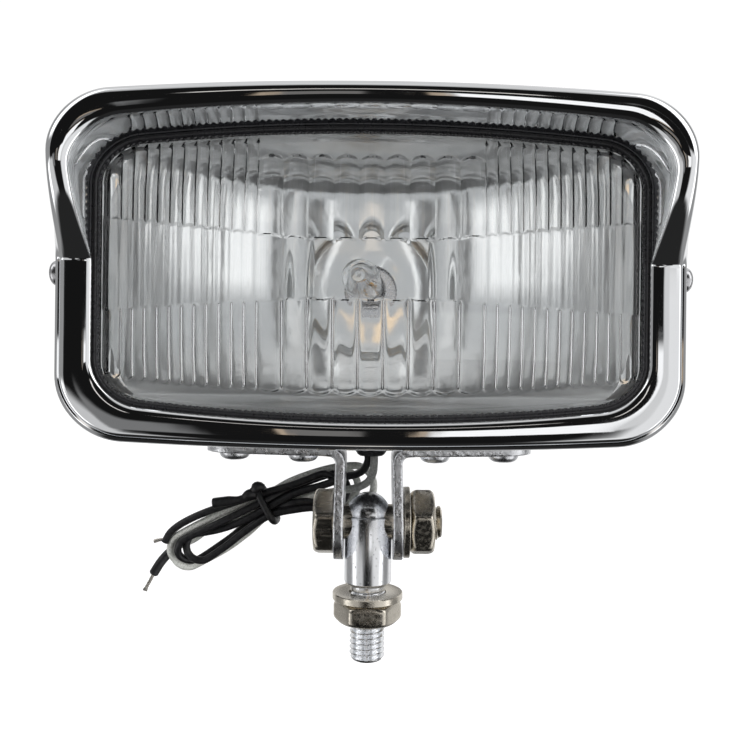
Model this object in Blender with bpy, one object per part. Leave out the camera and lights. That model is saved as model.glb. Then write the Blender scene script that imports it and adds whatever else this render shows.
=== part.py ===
"""Rectangular chrome fog light with a visor bezel, on a swivelling stud mount.

Lengths are in millimetres and become metres when a mesh is made. +X is to the right as seen
from the front, the lens faces -Y and +Z is up. The origin is on the stud's axis, at the top
face of the washer that clamps the stud to the vehicle.
"""

import math

import bmesh
import bpy
import numpy as np
from mathutils import Matrix, Vector

MM = 0.001
GAP = 0.3

# Lamp head. Heights in the head are measured from LAMP_Z, the middle of the lens opening.
LAMP_Z = 87.1
BEZEL_HALF = (80.0, 44.5)
BEZEL_RADIUS = 17.0
BEZEL_DROP = 2.4
LIP_HALF = (75.1, 42.3)
OPENING_HALF = (70.0, 37.25)
OPENING_RADIUS = 12.0
OPENING_DROP = 4.7
FACE_Y = -28.0
SHEET = 1.0
SKIRT_REAR_Y = -12.0
VISOR_DEPTH = 17.0
VISOR_START = 3.0
VISOR_RISE = 24.0
LENS_CROWN = 3.0
HOUSING_REAR_Y = 42.0
HOUSING_WALL = 1.2
REFLECTOR_Y = -19.0
REFLECTOR_WALL = 1.2
COLLAR_RADIUS = 18.5
BULB_Y = 19.5
BULB_RADIUS = 5.6
FILAMENT_RADIUS = 0.4
BLADE_HALF = (3.1, 0.4)
CONNECTOR_HALF = (4.2, 2.2)
TAG_DROP = 13.9
CLIP_BAR = (3.1, 13.5)
CLIP_BAR_HALF = 13.5
CLIP_LEG_X = 8.4
CLIP_WIRE = 0.7
LUG_X = 11.5

# Mount. The tilt axis runs along X through (0, 0, PIVOT_Z).
PIVOT_Z = 19.8
M10 = 5.0
M10_HOLE = M10 + GAP
M10_FLATS = 17.0
M10_WASHER = 10.0
M4 = 2.0
M4_HOLE = M4 + GAP
M4_FLATS = 4.0
PIVOT_TURN = math.radians(12)
BARREL_RADIUS = 6.7
SHOULDER_Z = 2.1
DOME_RADIUS = 6.3
DOME_Z = 22.0
STUD_END_Z = -19.2
STUD_NUT_Z = -8.3
EAR_INNER_X = 7.0
EAR_HALF_WIDTH = 10.6
STRAP = 2.7
STRAP_TOP_Z = 42.0
STRAP_END_X = 45.5
STRAP_BEND = 3.2
STRAP_LEAN = -0.5
STRAP_END_RADIUS = 8.0
SCREW_X = (18.8, 38.3)
SIDE_SCREW_Y = -22.0

# Leads, and the grommet that they leave the housing by.
GROMMET_AT = (0.6, 6.2)
GROMMET_RADIUS = 4.0
LEAD_AT = {"black": (-0.3, 7.3), "white": (1.5, 5.1)}
WIRE_RADIUS = 1.15
SLEEVE_RADIUS = 1.4
TIP_RADIUS = 0.55
HANK_FRONT_Y = 13.6
HANK_REAR_Y = 21.6
HANK_LENGTH = 64.0
TIE_AT = 0.52
TIE_THICK = 1.2
TIE_HALF_WIDTH = 1.2

# Facets.
CORNER_STEPS = 5
SIDE_HEIGHTS = (3.0, 9.0, 17.0)
ROUND = 24
NUT_FACETS = 24

# Shared materials by name, made in main().
FINISHES = {}


def clear_scene():
    for obj in list(bpy.data.objects):
        bpy.data.objects.remove(obj, do_unlink=True)


def finish(name, colour, metallic, roughness, transmission=0.0):
    material = bpy.data.materials.new(name)
    material.use_nodes = True
    shader = material.node_tree.nodes["Principled BSDF"]
    shader.inputs["Base Color"].default_value = (*colour, 1.0)
    shader.inputs["Metallic"].default_value = metallic
    shader.inputs["Roughness"].default_value = roughness
    shader.inputs["Transmission Weight"].default_value = transmission
    material.diffuse_color = (*colour, 1.0)
    return material


def make_finishes():
    return {
        "chrome": finish("chrome", (0.80, 0.81, 0.83), 1.0, 0.06),
        "zinc": finish("zinc", (0.66, 0.67, 0.68), 1.0, 0.30),
        "nickel": finish("nickel", (0.52, 0.49, 0.43), 1.0, 0.26),
        "paint": finish("paint", (0.03, 0.03, 0.035), 0.0, 0.45),
        "glass": finish("glass", (0.93, 0.95, 0.95), 0.0, 0.05, 0.9),
        "mirror": finish("mirror", (0.88, 0.88, 0.87), 1.0, 0.05),
        "rubber": finish("rubber", (0.015, 0.015, 0.017), 0.0, 0.6),
        "black_pvc": finish("black_pvc", (0.02, 0.02, 0.022), 0.0, 0.4),
        "white_pvc": finish("white_pvc", (0.62, 0.63, 0.60), 0.0, 0.4),
        "copper": finish("copper", (0.62, 0.52, 0.44), 1.0, 0.35),
        "ceramic": finish("ceramic", (0.78, 0.76, 0.70), 0.0, 0.5),
    }


def solid(name, points, faces, material, parent=None):
    """One closed body from points in millimetres, shaded smooth up to a 35 degree edge."""
    mesh = bpy.data.meshes.new(name)
    mesh.from_pydata([(x * MM, y * MM, z * MM) for x, y, z in points], [], faces)
    work = bmesh.new()
    work.from_mesh(mesh)
    bmesh.ops.recalc_face_normals(work, faces=work.faces)
    work.to_mesh(mesh)
    work.free()
    mesh.shade_smooth()
    mesh.set_sharp_from_angle(angle=math.radians(35))
    obj = bpy.data.objects.new(name, mesh)
    bpy.context.scene.collection.objects.link(obj)
    if material:
        mesh.materials.append(FINISHES[material])
    if parent:
        obj.parent = parent
        obj.matrix_parent_inverse = parent.matrix_basis.inverted()
    return obj


def loft(name, rings, material, parent=None, wrap=False):
    """A skin over rings of equal length: capped at both ends, or joined end to end by wrap."""
    count = len(rings[0])
    points = [p for ring in rings for p in ring]
    faces = []
    last = len(rings) if wrap else len(rings) - 1
    for i in range(last):
        a = i * count
        b = (i + 1) % len(rings) * count
        for j in range(count):
            k = (j + 1) % count
            faces.append((a + j, a + k, b + k, b + j))
    if not wrap:
        faces.append(tuple(range(count)))
        faces.append(tuple(range((len(rings) - 1) * count, len(rings) * count)))
    return solid(name, points, faces, material, parent)


def turned(name, profile, material, origin, axis, parent=None, wrap=False, sides=ROUND, turn=0.0):
    """A body of revolution: profile lists (radius, height along axis) from origin."""
    aim = Vector((0, 0, 1)).rotation_difference(Vector(axis)).to_matrix()
    rings = []
    for radius, height in profile:
        ring = []
        for i in range(sides):
            a = turn + 2 * math.pi * i / sides
            local = Vector((radius * math.cos(a), radius * math.sin(a), height))
            ring.append(tuple(Vector(origin) + aim @ local))
        rings.append(ring)
    return loft(name, rings, material, parent, wrap)


def cutter(obj):
    obj.hide_render = True
    obj.display_type = "WIRE"
    return obj


def cut(obj, tool, operation="DIFFERENCE"):
    step = obj.modifiers.new("cut", "BOOLEAN")
    step.operation = operation
    step.solver = "EXACT"
    step.object = cutter(tool)


def drill(obj, radius, origin, axis, length, sides=16):
    """Drills obj through, from origin along axis."""
    cut(obj, turned("drill", [(radius, 0.0), (radius, length)], None, origin, axis, sides=sides))


def box(name, low, high, material, parent=None):
    (x0, y0, z0), (x1, y1, z1) = low, high
    rings = [[(x, y0, z0), (x, y1, z0), (x, y1, z1), (x, y0, z1)] for x in (x0, x1)]
    return loft(name, rings, material, parent)


def empty(name, location, parent=None):
    obj = bpy.data.objects.new(name, None)
    bpy.context.scene.collection.objects.link(obj)
    obj.matrix_basis = Matrix.Translation([c * MM for c in location])
    if parent:
        obj.parent = parent
        obj.matrix_parent_inverse = parent.matrix_basis.inverted()
    return obj


def outline(half_w, half_h, radius, drop, heights=()):
    """Points (x, height) round a rectangle with round corners. Its long sides are bowed: they
    lie drop nearer the middle at the ends. heights adds points up the short sides."""
    quarter = [(half_w, h) for h in (0.0, *heights)]
    for i in range(CORNER_STEPS + 1):
        a = math.radians(90) * i / CORNER_STEPS
        x = half_w - radius + radius * math.cos(a)
        quarter.append((x, half_h - radius + radius * math.sin(a)))
    quarter += [((half_w - radius) * share, half_h) for share in (2 / 3, 1 / 3)]
    right = [(x, h * (1 - drop / half_h * (x / half_w) ** 2)) for x, h in quarter]
    top = right + [(0.0, half_h)] + [(-x, h) for x, h in reversed(right)]
    bottom = [(x, -h) for x, h in reversed(top[1:-1])]
    return top + bottom


def visor(height):
    """How far the bezel's rim stands forward at this height: the upper half is a visor."""
    t = min(max((height - VISOR_START) / VISOR_RISE, 0.0), 1.0)
    return VISOR_DEPTH * math.sin(math.pi / 2 * t)


def ring(points, y, lift=0.0, along=None):
    """The outline at depth y, brought forward by lift times the visor's depth at each height.
    along is the outline whose heights decide the visor, so that matching points move together."""
    guide = along or points
    return [(x, y - lift * visor(g[1]), LAMP_Z + h) for (x, h), g in zip(points, guide)]


def grown(base, amount, radius, drop, heights=()):
    return outline(base[0] + amount, base[1] + amount, radius + amount, drop, heights)


def make_bezel(head):
    outer = grown(BEZEL_HALF, 0.0, BEZEL_RADIUS, BEZEL_DROP, SIDE_HEIGHTS)
    corner = grown(BEZEL_HALF, -0.6, BEZEL_RADIUS, BEZEL_DROP, SIDE_HEIGHTS)
    band = grown(BEZEL_HALF, -2.2, BEZEL_RADIUS, BEZEL_DROP, SIDE_HEIGHTS)
    inside = grown(BEZEL_HALF, -SHEET, BEZEL_RADIUS, BEZEL_DROP, SIDE_HEIGHTS)
    inner_band = grown(BEZEL_HALF, -3.0, BEZEL_RADIUS, BEZEL_DROP, SIDE_HEIGHTS)
    lip_out = outline(*LIP_HALF, 14.5, 3.2, SIDE_HEIGHTS)
    lip_mid = outline(LIP_HALF[0] - 2.5, LIP_HALF[1] - 2.5, 13.5, 3.9, SIDE_HEIGHTS)
    lip_in = grown(OPENING_HALF, 0.3, OPENING_RADIUS, OPENING_DROP, SIDE_HEIGHTS)
    edge = grown(OPENING_HALF, 0.0, OPENING_RADIUS, OPENING_DROP, SIDE_HEIGHTS)
    back_in = grown(OPENING_HALF, 1.2, OPENING_RADIUS, OPENING_DROP, SIDE_HEIGHTS)
    back_out = outline(LIP_HALF[0] - 1.3, LIP_HALF[1] - 1.3, 14.0, 3.6, SIDE_HEIGHTS)
    back_y = FACE_Y + SHEET
    rings = [
        ring(outer, SKIRT_REAR_Y),
        ring(outer, FACE_Y + 3.5),
        ring(corner, FACE_Y + 1.3, 0.05, lip_mid),
        ring(band, FACE_Y + 0.1, 0.12, lip_mid),
        ring(lip_out, FACE_Y, 0.93, lip_mid),
        ring(lip_mid, FACE_Y, 1.0, lip_mid),
        ring(lip_in, FACE_Y, 0.93, lip_mid),
        ring(edge, FACE_Y + 0.4),
        ring(edge, back_y),
        ring(back_in, back_y),
        ring(back_in, back_y - 0.02, 0.86, lip_mid),
        ring(back_out, back_y - 0.02, 0.86, lip_mid),
        ring(inner_band, back_y + 0.1, 0.10, lip_mid),
        ring(inside, back_y + 2.0),
        ring(inside, SKIRT_REAR_Y),
    ]
    bezel = loft("bezel", rings, "chrome", head, wrap=True)
    for side in (-1, 1):
        drill(bezel, M4_HOLE, (side * 76.0, SIDE_SCREW_Y, LAMP_Z), (side, 0, 0), 8.0, 12)


def make_bezel_screws(head):
    head_x = BEZEL_HALF[0] + GAP
    profile = [(M4, -4.5), (M4, 0.0), (3.3, 0.0), (3.3, 0.8), (2.4, 2.0), (1.0, 2.4)]
    for name, side in (("bezel_screw_left", -1), ("bezel_screw_right", 1)):
        origin = (side * head_x, SIDE_SCREW_Y, LAMP_Z)
        turned(name, profile, "zinc", origin, (side, 0, 0), head, sides=12)


def make_lens(head):
    rim = grown(OPENING_HALF, 1.0, OPENING_RADIUS, OPENING_DROP)
    border = grown(OPENING_HALF, -3.0, OPENING_RADIUS, OPENING_DROP)
    middle = outline(44.0, 22.0, 10.0, 2.0)
    inner = outline(66.0, 33.0, 9.0, 4.3)
    rings = [
        ring(inner, -22.4),
        ring(rim, -21.6),
        ring(rim, -25.6),
        ring(border, -25.8),
        ring(border, -27.2),
        ring(middle, -27.2 - LENS_CROWN),
    ]
    loft("lens", rings, "glass", head)


def make_gasket(head):
    def at(amount, y):
        return ring(grown(OPENING_HALF, amount, OPENING_RADIUS, OPENING_DROP), y)

    front_y = FACE_Y + SHEET + GAP
    rings = [
        at(3.6, -19.8),
        at(3.6, front_y),
        at(-0.4, front_y),
        at(-0.4, -27.4),
        at(-2.6, -27.4),
        at(-2.6, -26.1),
        at(1.4, -26.1),
        at(1.4, -19.8),
    ]
    loft("lens_gasket", rings, "rubber", head, wrap=True)


def round_outline(half_w, half_h, like):
    """An ellipse with its points in the directions of another outline's points."""
    points = []
    for x, h in like:
        a = math.atan2(h / half_h, x / half_w)
        points.append((half_w * math.cos(a), half_h * math.sin(a)))
    return points


def make_reflector(head):
    flange = grown(BEZEL_HALF, -SHEET - HOUSING_WALL - 3 * GAP, BEZEL_RADIUS, BEZEL_DROP)
    mouth = grown(OPENING_HALF, -1.5, OPENING_RADIUS, OPENING_DROP)
    bowl = [
        (mouth, REFLECTOR_Y),
        (outline(67.0, 34.5, 12.0, 3.0), -9.0),
        (outline(57.0, 32.5, 18.0, 2.0), 2.0),
        (round_outline(42.0, 30.0, mouth), 9.5),
        (round_outline(27.0, 24.0, mouth), 13.8),
        (round_outline(19.0, 19.0, mouth), 15.2),
        (round_outline(COLLAR_RADIUS, COLLAR_RADIUS, mouth), BULB_Y - 3.2),
        (round_outline(8.0, 8.0, mouth), BULB_Y - 3.2),
    ]
    front = [ring(flange, REFLECTOR_Y)] + [ring(points, y) for points, y in bowl]
    scale = [1.0]
    scale += [1 + REFLECTOR_WALL / max(x for x, _ in points) for points, _ in bowl[:-1]]
    scale.append(1.0)
    back = []
    for k, points in zip(scale, front):
        back.append([(x * k, y + REFLECTOR_WALL, LAMP_Z + (z - LAMP_Z) * k) for x, y, z in points])
    loft("reflector", front + back[::-1], "mirror", head, wrap=True)


def make_bulb(head):
    centre = (0.0, BULB_Y, LAMP_Z)
    back = (0, 1, 0)
    plate = [(8.0, -1.7), (18.0, -1.7), (18.0, -0.7), (8.0, -0.7)]
    holder = turned("bulb_holder", plate, "zinc", centre, back, head, wrap=True)
    for side in (-1, 1):
        x = side * LUG_X
        low = (x - 0.6, BULB_Y - 1.2, LAMP_Z + 11.0)
        high = (x + 0.6, BULB_Y + 5.0, LAMP_Z + 16.0)
        cut(holder, box("lug", low, high, None), "UNION")
    bar = (-20.0, BULB_Y + CLIP_BAR[0], LAMP_Z + CLIP_BAR[1])
    drill(holder, CLIP_WIRE + GAP, bar, (1, 0, 0), 40.0, 12)
    glass = [(4.8, 0.5), (BULB_RADIUS, 0.5), (BULB_RADIUS, -22.0), (4.6, -25.2), (1.5, -26.6)]
    glass += [(1.2, -25.8), (3.9, -24.6), (4.8, -21.8)]
    turned("bulb_glass", glass, "glass", centre, back, head, wrap=True, sides=16)
    turned("bulb_base", [(10.0, 0.8), (10.0, 2.0)], "zinc", centre, back, head)
    stem = [(6.0, 2.3), (6.0, 7.0)]
    turned("bulb_insulator", stem, "ceramic", centre, back, head, sides=16)
    blade_y = BULB_Y + 7.3
    low = (-BLADE_HALF[0], blade_y, LAMP_Z - BLADE_HALF[1])
    high = (BLADE_HALF[0], blade_y + 7.0, LAMP_Z + BLADE_HALF[1])
    box("bulb_terminal", low, high, "copper", head)
    filament = [(-1.4, 0.5), (-1.4, -12.0), (-0.9, -14.5), (0.9, -14.5), (1.4, -12.0), (1.4, 0.5)]
    route = [(x, BULB_Y + y, LAMP_Z) for x, y in filament]
    tube("bulb_filament", route, FILAMENT_RADIUS, "copper", head)


def make_clip(head):
    """A sprung wire bail. Its bar turns in the two lugs and its legs press on the bulb's base."""
    bar_y = BULB_Y + CLIP_BAR[0]
    bar_z = LAMP_Z + CLIP_BAR[1]
    hinge = empty("clip_joint", (0, bar_y, bar_z), head)
    bar = [(-CLIP_BAR_HALF, bar_y, bar_z), (CLIP_BAR_HALF, bar_y, bar_z)]
    bail = tube("bulb_clip", bar, CLIP_WIRE, "zinc", hinge)
    leg = [
        (CLIP_LEG_X - 0.4, bar_z),
        (CLIP_LEG_X + 0.2, bar_z - 0.7),
        (CLIP_LEG_X, bar_z - 2.0),
        (CLIP_LEG_X, LAMP_Z),
        (CLIP_LEG_X + 0.8, LAMP_Z - 12.0),
    ]
    for side in (-1, 1):
        route = [(side * x, bar_y, z) for x, z in leg]
        cut(bail, tube("leg", route, CLIP_WIRE, None), "UNION")


def frames(route):
    """A direction along the route and two across it at each of its points, never twisting."""
    points = [Vector(p) for p in route]
    along = []
    for i in range(len(points)):
        before = points[max(i - 1, 0)]
        after = points[min(i + 1, len(points) - 1)]
        along.append((after - before).normalized())
    side = along[0].orthogonal().normalized()
    result = []
    for i, direction in enumerate(along):
        if i:
            side = along[i - 1].rotation_difference(direction) @ side
        side = (side - direction * side.dot(direction)).normalized()
        result.append((points[i], side, direction.cross(side)))
    return result


def tube(name, route, radius, material, parent=None, sides=8):
    rings = []
    for centre, side, other in frames(route):
        ring_points = []
        for i in range(sides):
            a = 2 * math.pi * i / sides
            ring_points.append(tuple(centre + radius * (math.cos(a) * side + math.sin(a) * other)))
        rings.append(ring_points)
    return loft(name, rings, material, parent)


def housing_bottom(x, half=(80.0, 44.7), drop=BEZEL_DROP):
    """Height of the housing's underside at x."""
    return LAMP_Z - half[1] * (1 - drop / half[1] * (x / half[0]) ** 2)


def make_housing(head):
    nose = grown(BEZEL_HALF, -SHEET - GAP, BEZEL_RADIUS, BEZEL_DROP)
    body = grown(BEZEL_HALF, 0.2, BEZEL_RADIUS, BEZEL_DROP)
    shoulder = outline(77.0, 43.4, 17.0, 2.2)
    back = outline(66.0, 35.5, 18.0, 1.5)
    rear = outline(58.0, 28.5, 18.0, 1.0)
    step_y = SKIRT_REAR_Y + GAP
    outer = [
        (nose, FACE_Y + 3.6),
        (nose, step_y - 0.1),
        (body, step_y + 0.6),
        (body, 12.0),
        (shoulder, 22.0),
        (back, 36.0),
        (rear, HOUSING_REAR_Y),
    ]
    inner = []
    for points, y in outer:
        k_x = 1 - HOUSING_WALL / max(x for x, _ in points)
        k_h = 1 - HOUSING_WALL / max(h for _, h in points)
        inner.append(([(x * k_x, h * k_h) for x, h in points], y))
    inner[-1] = (inner[-1][0], HOUSING_REAR_Y - HOUSING_WALL)
    inner[-2] = (inner[-2][0], 35.5)
    rings = [ring(points, y) for points, y in outer[::-1]]
    rings += [ring(points, y) for points, y in inner]
    housing = loft("rear_housing", rings, "paint", head)
    for x in SCREW_X:
        for side in (-1, 1):
            drill(housing, M4_HOLE, (side * x, 0.0, 36.0), (0, 0, 1), 12.0, 12)
    for side in (-1, 1):
        drill(housing, M4_HOLE, (side * 74.0, SIDE_SCREW_Y, LAMP_Z), (side, 0, 0), 8.0, 12)
    drill(housing, GROMMET_RADIUS + GAP, (*GROMMET_AT, 36.0), (0, 0, 1), 12.0)


def make_grommet(head):
    profile = [(GROMMET_RADIUS, 45.6), (GROMMET_RADIUS, 42.1)]
    profile += [(5.0, 42.1), (5.0, 40.4), (4.2, 38.6), (3.2, 38.0)]
    grommet = turned("grommet", profile, "rubber", (*GROMMET_AT, 0.0), (0, 0, 1), head, sides=20)
    for x, y in LEAD_AT.values():
        drill(grommet, WIRE_RADIUS + 0.1, (x, y, 36.0), (0, 0, 1), 12.0, 12)


def make_bracket(head, name, side):
    """A strap bent to an L: a round-ended ear beside the barrel, and a foot under the housing."""
    ear_x = EAR_INNER_X + STRAP / 2
    stations = []
    for i in range(9):
        a = math.radians(8 + 82 * i / 8)
        z = PIVOT_Z - EAR_HALF_WIDTH * math.cos(a)
        stations.append((ear_x, z, EAR_HALF_WIDTH * math.sin(a), (1, 0)))
    bend_x = ear_x + STRAP_LEAN
    bend_z = STRAP_TOP_Z - STRAP / 2 - STRAP_BEND
    for i in range(5):
        a = math.radians(90) * i / 4
        x = bend_x + STRAP_BEND * (1 - math.cos(a))
        z = bend_z + STRAP_BEND * math.sin(a)
        stations.append((x, z, EAR_HALF_WIDTH, (math.cos(a), -math.sin(a))))
    straight = STRAP_END_X - STRAP_END_RADIUS
    for x in (19.0, 28.0, straight):
        stations.append((x, None, EAR_HALF_WIDTH, (0, -1)))
    for i in range(1, 6):
        a = math.radians(80) * i / 5
        x = straight + STRAP_END_RADIUS * math.sin(a)
        half = EAR_HALF_WIDTH - STRAP_END_RADIUS * (1 - math.cos(a))
        stations.append((x, None, half, (0, -1)))
    rings = []
    for x, z, half, (nx, nz) in stations:
        if z is None:
            z = housing_bottom(x) - GAP - STRAP / 2
        outer = (side * (x + nx * STRAP / 2), z + nz * STRAP / 2)
        inner = (side * (x - nx * STRAP / 2), z - nz * STRAP / 2)
        rings.append([(outer[0], -half, outer[1]), (outer[0], half, outer[1]),
                      (inner[0], half, inner[1]), (inner[0], -half, inner[1])])
    bracket = loft(name, rings, "zinc", head)
    drill(bracket, M10_HOLE, (side * 4.0, 0.0, PIVOT_Z), (side, 0, 0), 9.0, ROUND)
    for x in SCREW_X:
        drill(bracket, M4_HOLE, (side * x, 0.0, 36.0), (0, 0, 1), 10.0, 12)


def make_bracket_screws(head):
    names = ("outer_left", "inner_left", "inner_right", "outer_right")
    places = (-SCREW_X[1], -SCREW_X[0], SCREW_X[0], SCREW_X[1])
    pan = [(1.2, -2.4), (3.2, -2.0), (4.25, -0.9), (4.25, 0.0), (M4, 0.0), (M4, 8.6)]
    nut = [(M4_HOLE, 0.0), (M4_FLATS, 0.0), (M4_FLATS, 3.0), (M4_HOLE, 3.0)]
    for name, x in zip(names, places):
        seat = housing_bottom(x) - GAP - STRAP - GAP
        turned("bracket_screw_" + name, pan, "zinc", (x, 0.0, seat - 0.25), (0, 0, 1), head, sides=16)
        floor = housing_bottom(x) + HOUSING_WALL + 2 * GAP
        hex_nut("bracket_nut_" + name, nut, "zinc", (x, 0.0, floor), (0, 0, 1), head)


def hex_nut(name, profile, material, origin, axis, parent, turn=0.0):
    """A nut: profile entries wider than its first one, the bore, are the corners of hexagons."""
    aim = Vector((0, 0, 1)).rotation_difference(Vector(axis)).to_matrix()
    rings = []
    bore = profile[0][0]
    for radius, height in profile:
        ring_points = []
        for i in range(NUT_FACETS):
            a = 2 * math.pi * i / NUT_FACETS
            r = radius
            if radius > bore:
                part = (a + math.pi / 6) % (math.pi / 3) - math.pi / 6
                r = radius * math.cos(math.pi / 6) / math.cos(abs(part) - math.pi / 6)
            local = Vector((r * math.cos(a + turn), r * math.sin(a + turn), height))
            ring_points.append(tuple(Vector(origin) + aim @ local))
        rings.append(ring_points)
    return loft(name, rings, material, parent, wrap=True)


def make_pivot(head):
    """The bolt that the head tilts on, with its washer and nut. It turns in the barrel."""
    corner = M10_FLATS / math.sqrt(3)
    ear_x = EAR_INNER_X + STRAP + GAP
    axis = (1, 0, 0)
    centre = (0.0, 0.0, PIVOT_Z)
    bolt = turned(
        "pivot_bolt",
        [(M10 - 0.8, 20.8), (M10, 20.0), (M10, -ear_x)],
        "nickel", centre, axis, head,
    )
    hexagon = [(corner - 0.6, -ear_x - 5.4), (corner, -ear_x - 4.9), (corner, -ear_x + 0.05)]
    cut(bolt, turned("bolt_head", hexagon, None, centre, axis, sides=6, turn=PIVOT_TURN), "UNION")
    washer = [(M10_HOLE, 0.0), (M10_WASHER, 0.0), (M10_WASHER, 1.7), (M10_HOLE, 1.7)]
    turned("pivot_washer", washer, "nickel", (ear_x, 0, PIVOT_Z), axis, head, wrap=True)
    nut_x = ear_x + 1.7 + GAP
    nut = [(M10_HOLE, 0.0), (corner - 0.6, 0.0), (corner, 0.5), (corner, 6.1)]
    nut += [(corner - 0.6, 6.6), (M10_HOLE, 6.6)]
    hex_nut("pivot_nut", nut, "nickel", (nut_x, 0, PIVOT_Z), axis, head, turn=PIVOT_TURN)


def make_swivel(swivel):
    """Barrel with a domed top and a cross hole for the pivot bolt, on a threaded stud."""
    profile = [(M10 - 0.9, STUD_END_Z), (M10, STUD_END_Z + 0.9), (M10, SHOULDER_Z)]
    profile += [(5.9, SHOULDER_Z), (BARREL_RADIUS, SHOULDER_Z + 0.9), (BARREL_RADIUS, 21.6)]
    for i in range(6):
        a = math.radians(80) * i / 5
        profile.append((DOME_RADIUS * math.cos(a), DOME_Z + DOME_RADIUS * math.sin(a)))
    stud = turned("swivel_stud", profile, "chrome", (0, 0, 0), (0, 0, 1), swivel)
    drill(stud, M10_HOLE, (-10.0, 0.0, PIVOT_Z), (1, 0, 0), 20.0, ROUND)


def make_stud_fasteners():
    corner = M10_FLATS / math.sqrt(3)
    washer = [(M10_HOLE, -2.0), (M10_WASHER, -2.0), (M10_WASHER, 0.0), (M10_HOLE, 0.0)]
    turned("stud_washer", washer, "nickel", (0, 0, 0), (0, 0, 1), wrap=True)
    nut = [(M10_HOLE, 0.0), (corner - 0.6, 0.0), (corner, 0.5), (corner, 5.5)]
    nut += [(corner - 0.6, 6.0), (M10_HOLE, 6.0)]
    hex_nut("stud_nut", nut, "nickel", (0, 0, STUD_NUT_Z), (0, 0, 1), None)


def smooth(knots, count):
    """count points, evenly spaced, on a Catmull-Rom curve through the knots."""
    p = [np.array(k, float) for k in knots]
    p = [2 * p[0] - p[1]] + p + [2 * p[-1] - p[-2]]
    fine = []
    for i in range(1, len(p) - 2):
        for t in np.linspace(0, 1, 16, endpoint=False):
            a = 2 * p[i]
            b = p[i + 1] - p[i - 1]
            c = 2 * p[i - 1] - 5 * p[i] + 4 * p[i + 1] - p[i + 2]
            d = 3 * p[i] - p[i - 1] - 3 * p[i + 1] + p[i + 2]
            fine.append((a + b * t + c * t**2 + d * t**3) / 2)
    fine.append(p[-2])
    fine = np.array(fine)
    run = np.concatenate([[0], np.cumsum(np.linalg.norm(np.diff(fine, axis=0), axis=1))])
    at = np.linspace(0, run[-1], count)
    return [tuple(float(np.interp(s, run, fine[:, k])) for k in range(3)) for s in at]


def cord(name, knots, radius, count, material, parent):
    """A wire: a curve object with a round bevel and filled ends."""
    data = bpy.data.curves.new(name, "CURVE")
    data.dimensions = "3D"
    data.bevel_depth = radius * MM
    data.bevel_resolution = 2
    data.use_fill_caps = True
    spline = data.splines.new("POLY")
    route = smooth(knots, count)
    spline.points.add(len(route) - 1)
    for point, place in zip(spline.points, route):
        point.co = (*(c * MM for c in place), 1.0)
    data.materials.append(FINISHES[material])
    obj = bpy.data.objects.new(name, data)
    bpy.context.scene.collection.objects.link(obj)
    obj.parent = parent
    obj.matrix_parent_inverse = parent.matrix_basis.inverted()
    return obj


def make_inner_leads(head):
    """The two leads inside the housing, from the bulb down to the top of the grommet's holes."""
    half_x, half_z = CONNECTOR_HALF
    low = (-half_x, BULB_Y + 7.9, LAMP_Z - half_z)
    high = (half_x, BULB_Y + 15.4, LAMP_Z + half_z)
    flag = box("lead_connector", low, high, "black_pvc", head)
    slot_x = BLADE_HALF[0] + GAP
    slot_z = BLADE_HALF[1] + GAP
    low = (-slot_x, BULB_Y + 7.0, LAMP_Z - slot_z)
    cut(flag, box("slot", low, (slot_x, BULB_Y + 14.6, LAMP_Z + slot_z), None))
    black_x, black_y = LEAD_AT["black"]
    white_x, white_y = LEAD_AT["white"]
    black = [(0.0, BULB_Y + 11.5, LAMP_Z - half_z - GAP), (0.0, BULB_Y + 11.5, 74.0)]
    black += [(-0.6, 27.0, 62.0), (-1.5, 16.0, 55.0), (-0.8, 8.5, 50.0)]
    black += [(black_x, black_y, 46.0), (black_x, black_y, 42.0), (black_x, black_y, 38.3)]
    cord("black_lead_inner", black, WIRE_RADIUS, 22, "black_pvc", head)
    tag_z = LAMP_Z - TAG_DROP
    eye = [(M4_HOLE, 0.0), (3.6, 0.0), (3.6, 0.9), (M4_HOLE, 0.9)]
    face_y = BULB_Y - 0.7 + GAP
    centre = (0, face_y, tag_z)
    back = (0, 1, 0)
    turned("ground_terminal", eye, "copper", centre, back, head, wrap=True, sides=16)
    screw = [(M4, 0.0), (M4, 0.9 + GAP), (3.3, 0.9 + GAP), (3.3, 2.2), (M4, 2.8)]
    turned("ground_screw", screw, "zinc", centre, back, head, sides=12)
    white = [(0.0, face_y + 0.45, tag_z - 3.6 - GAP), (0.6, face_y + 1.2, 62.0)]
    white += [(2.6, 14.0, 54.0), (2.6, 7.0, 50.0), (white_x, white_y, 46.0)]
    white += [(white_x, white_y, 42.0), (white_x, white_y, 38.3)]
    cord("white_lead_inner", white, WIRE_RADIUS * 0.9, 16, "white_pvc", head)


def hank_spine(u):
    """Centre (x, z) of the hank, from its right end to its left: it droops to the left."""
    return 2.0 - HANK_LENGTH * u, 28.3 - 1.5 * u - 21.3 * u * u


def hank_half_height(u):
    """Half the hank's height: narrow at the tie, wide in the loops on the left."""
    waist = 5.6 - 0.9 * math.exp(-(((u - TIE_AT) / 0.12) ** 2))
    width = waist + 2.6 / (1 + math.exp(-(u - 0.72) / 0.04))
    start = min(u * HANK_LENGTH / 5.6, 1.0)
    end = min((1 - u) * HANK_LENGTH / 8.2, 1.0)
    return width * math.sqrt(1 - (1 - start) ** 2) * math.sqrt(1 - (1 - end) ** 2)


def hank_outline(steps=26):
    upper = []
    lower = []
    for i in range(1, steps):
        u = 0.5 - 0.5 * math.cos(math.pi * i / steps)
        x, z = hank_spine(u)
        ahead = Vector(hank_spine(u + 0.01)) - Vector((x, z))
        across = Vector((-ahead.y, ahead.x)).normalized() * hank_half_height(u)
        upper.append((x - across.x, z - across.y))
        lower.append((x + across.x, z + across.y))
    return upper + lower[::-1]


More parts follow.
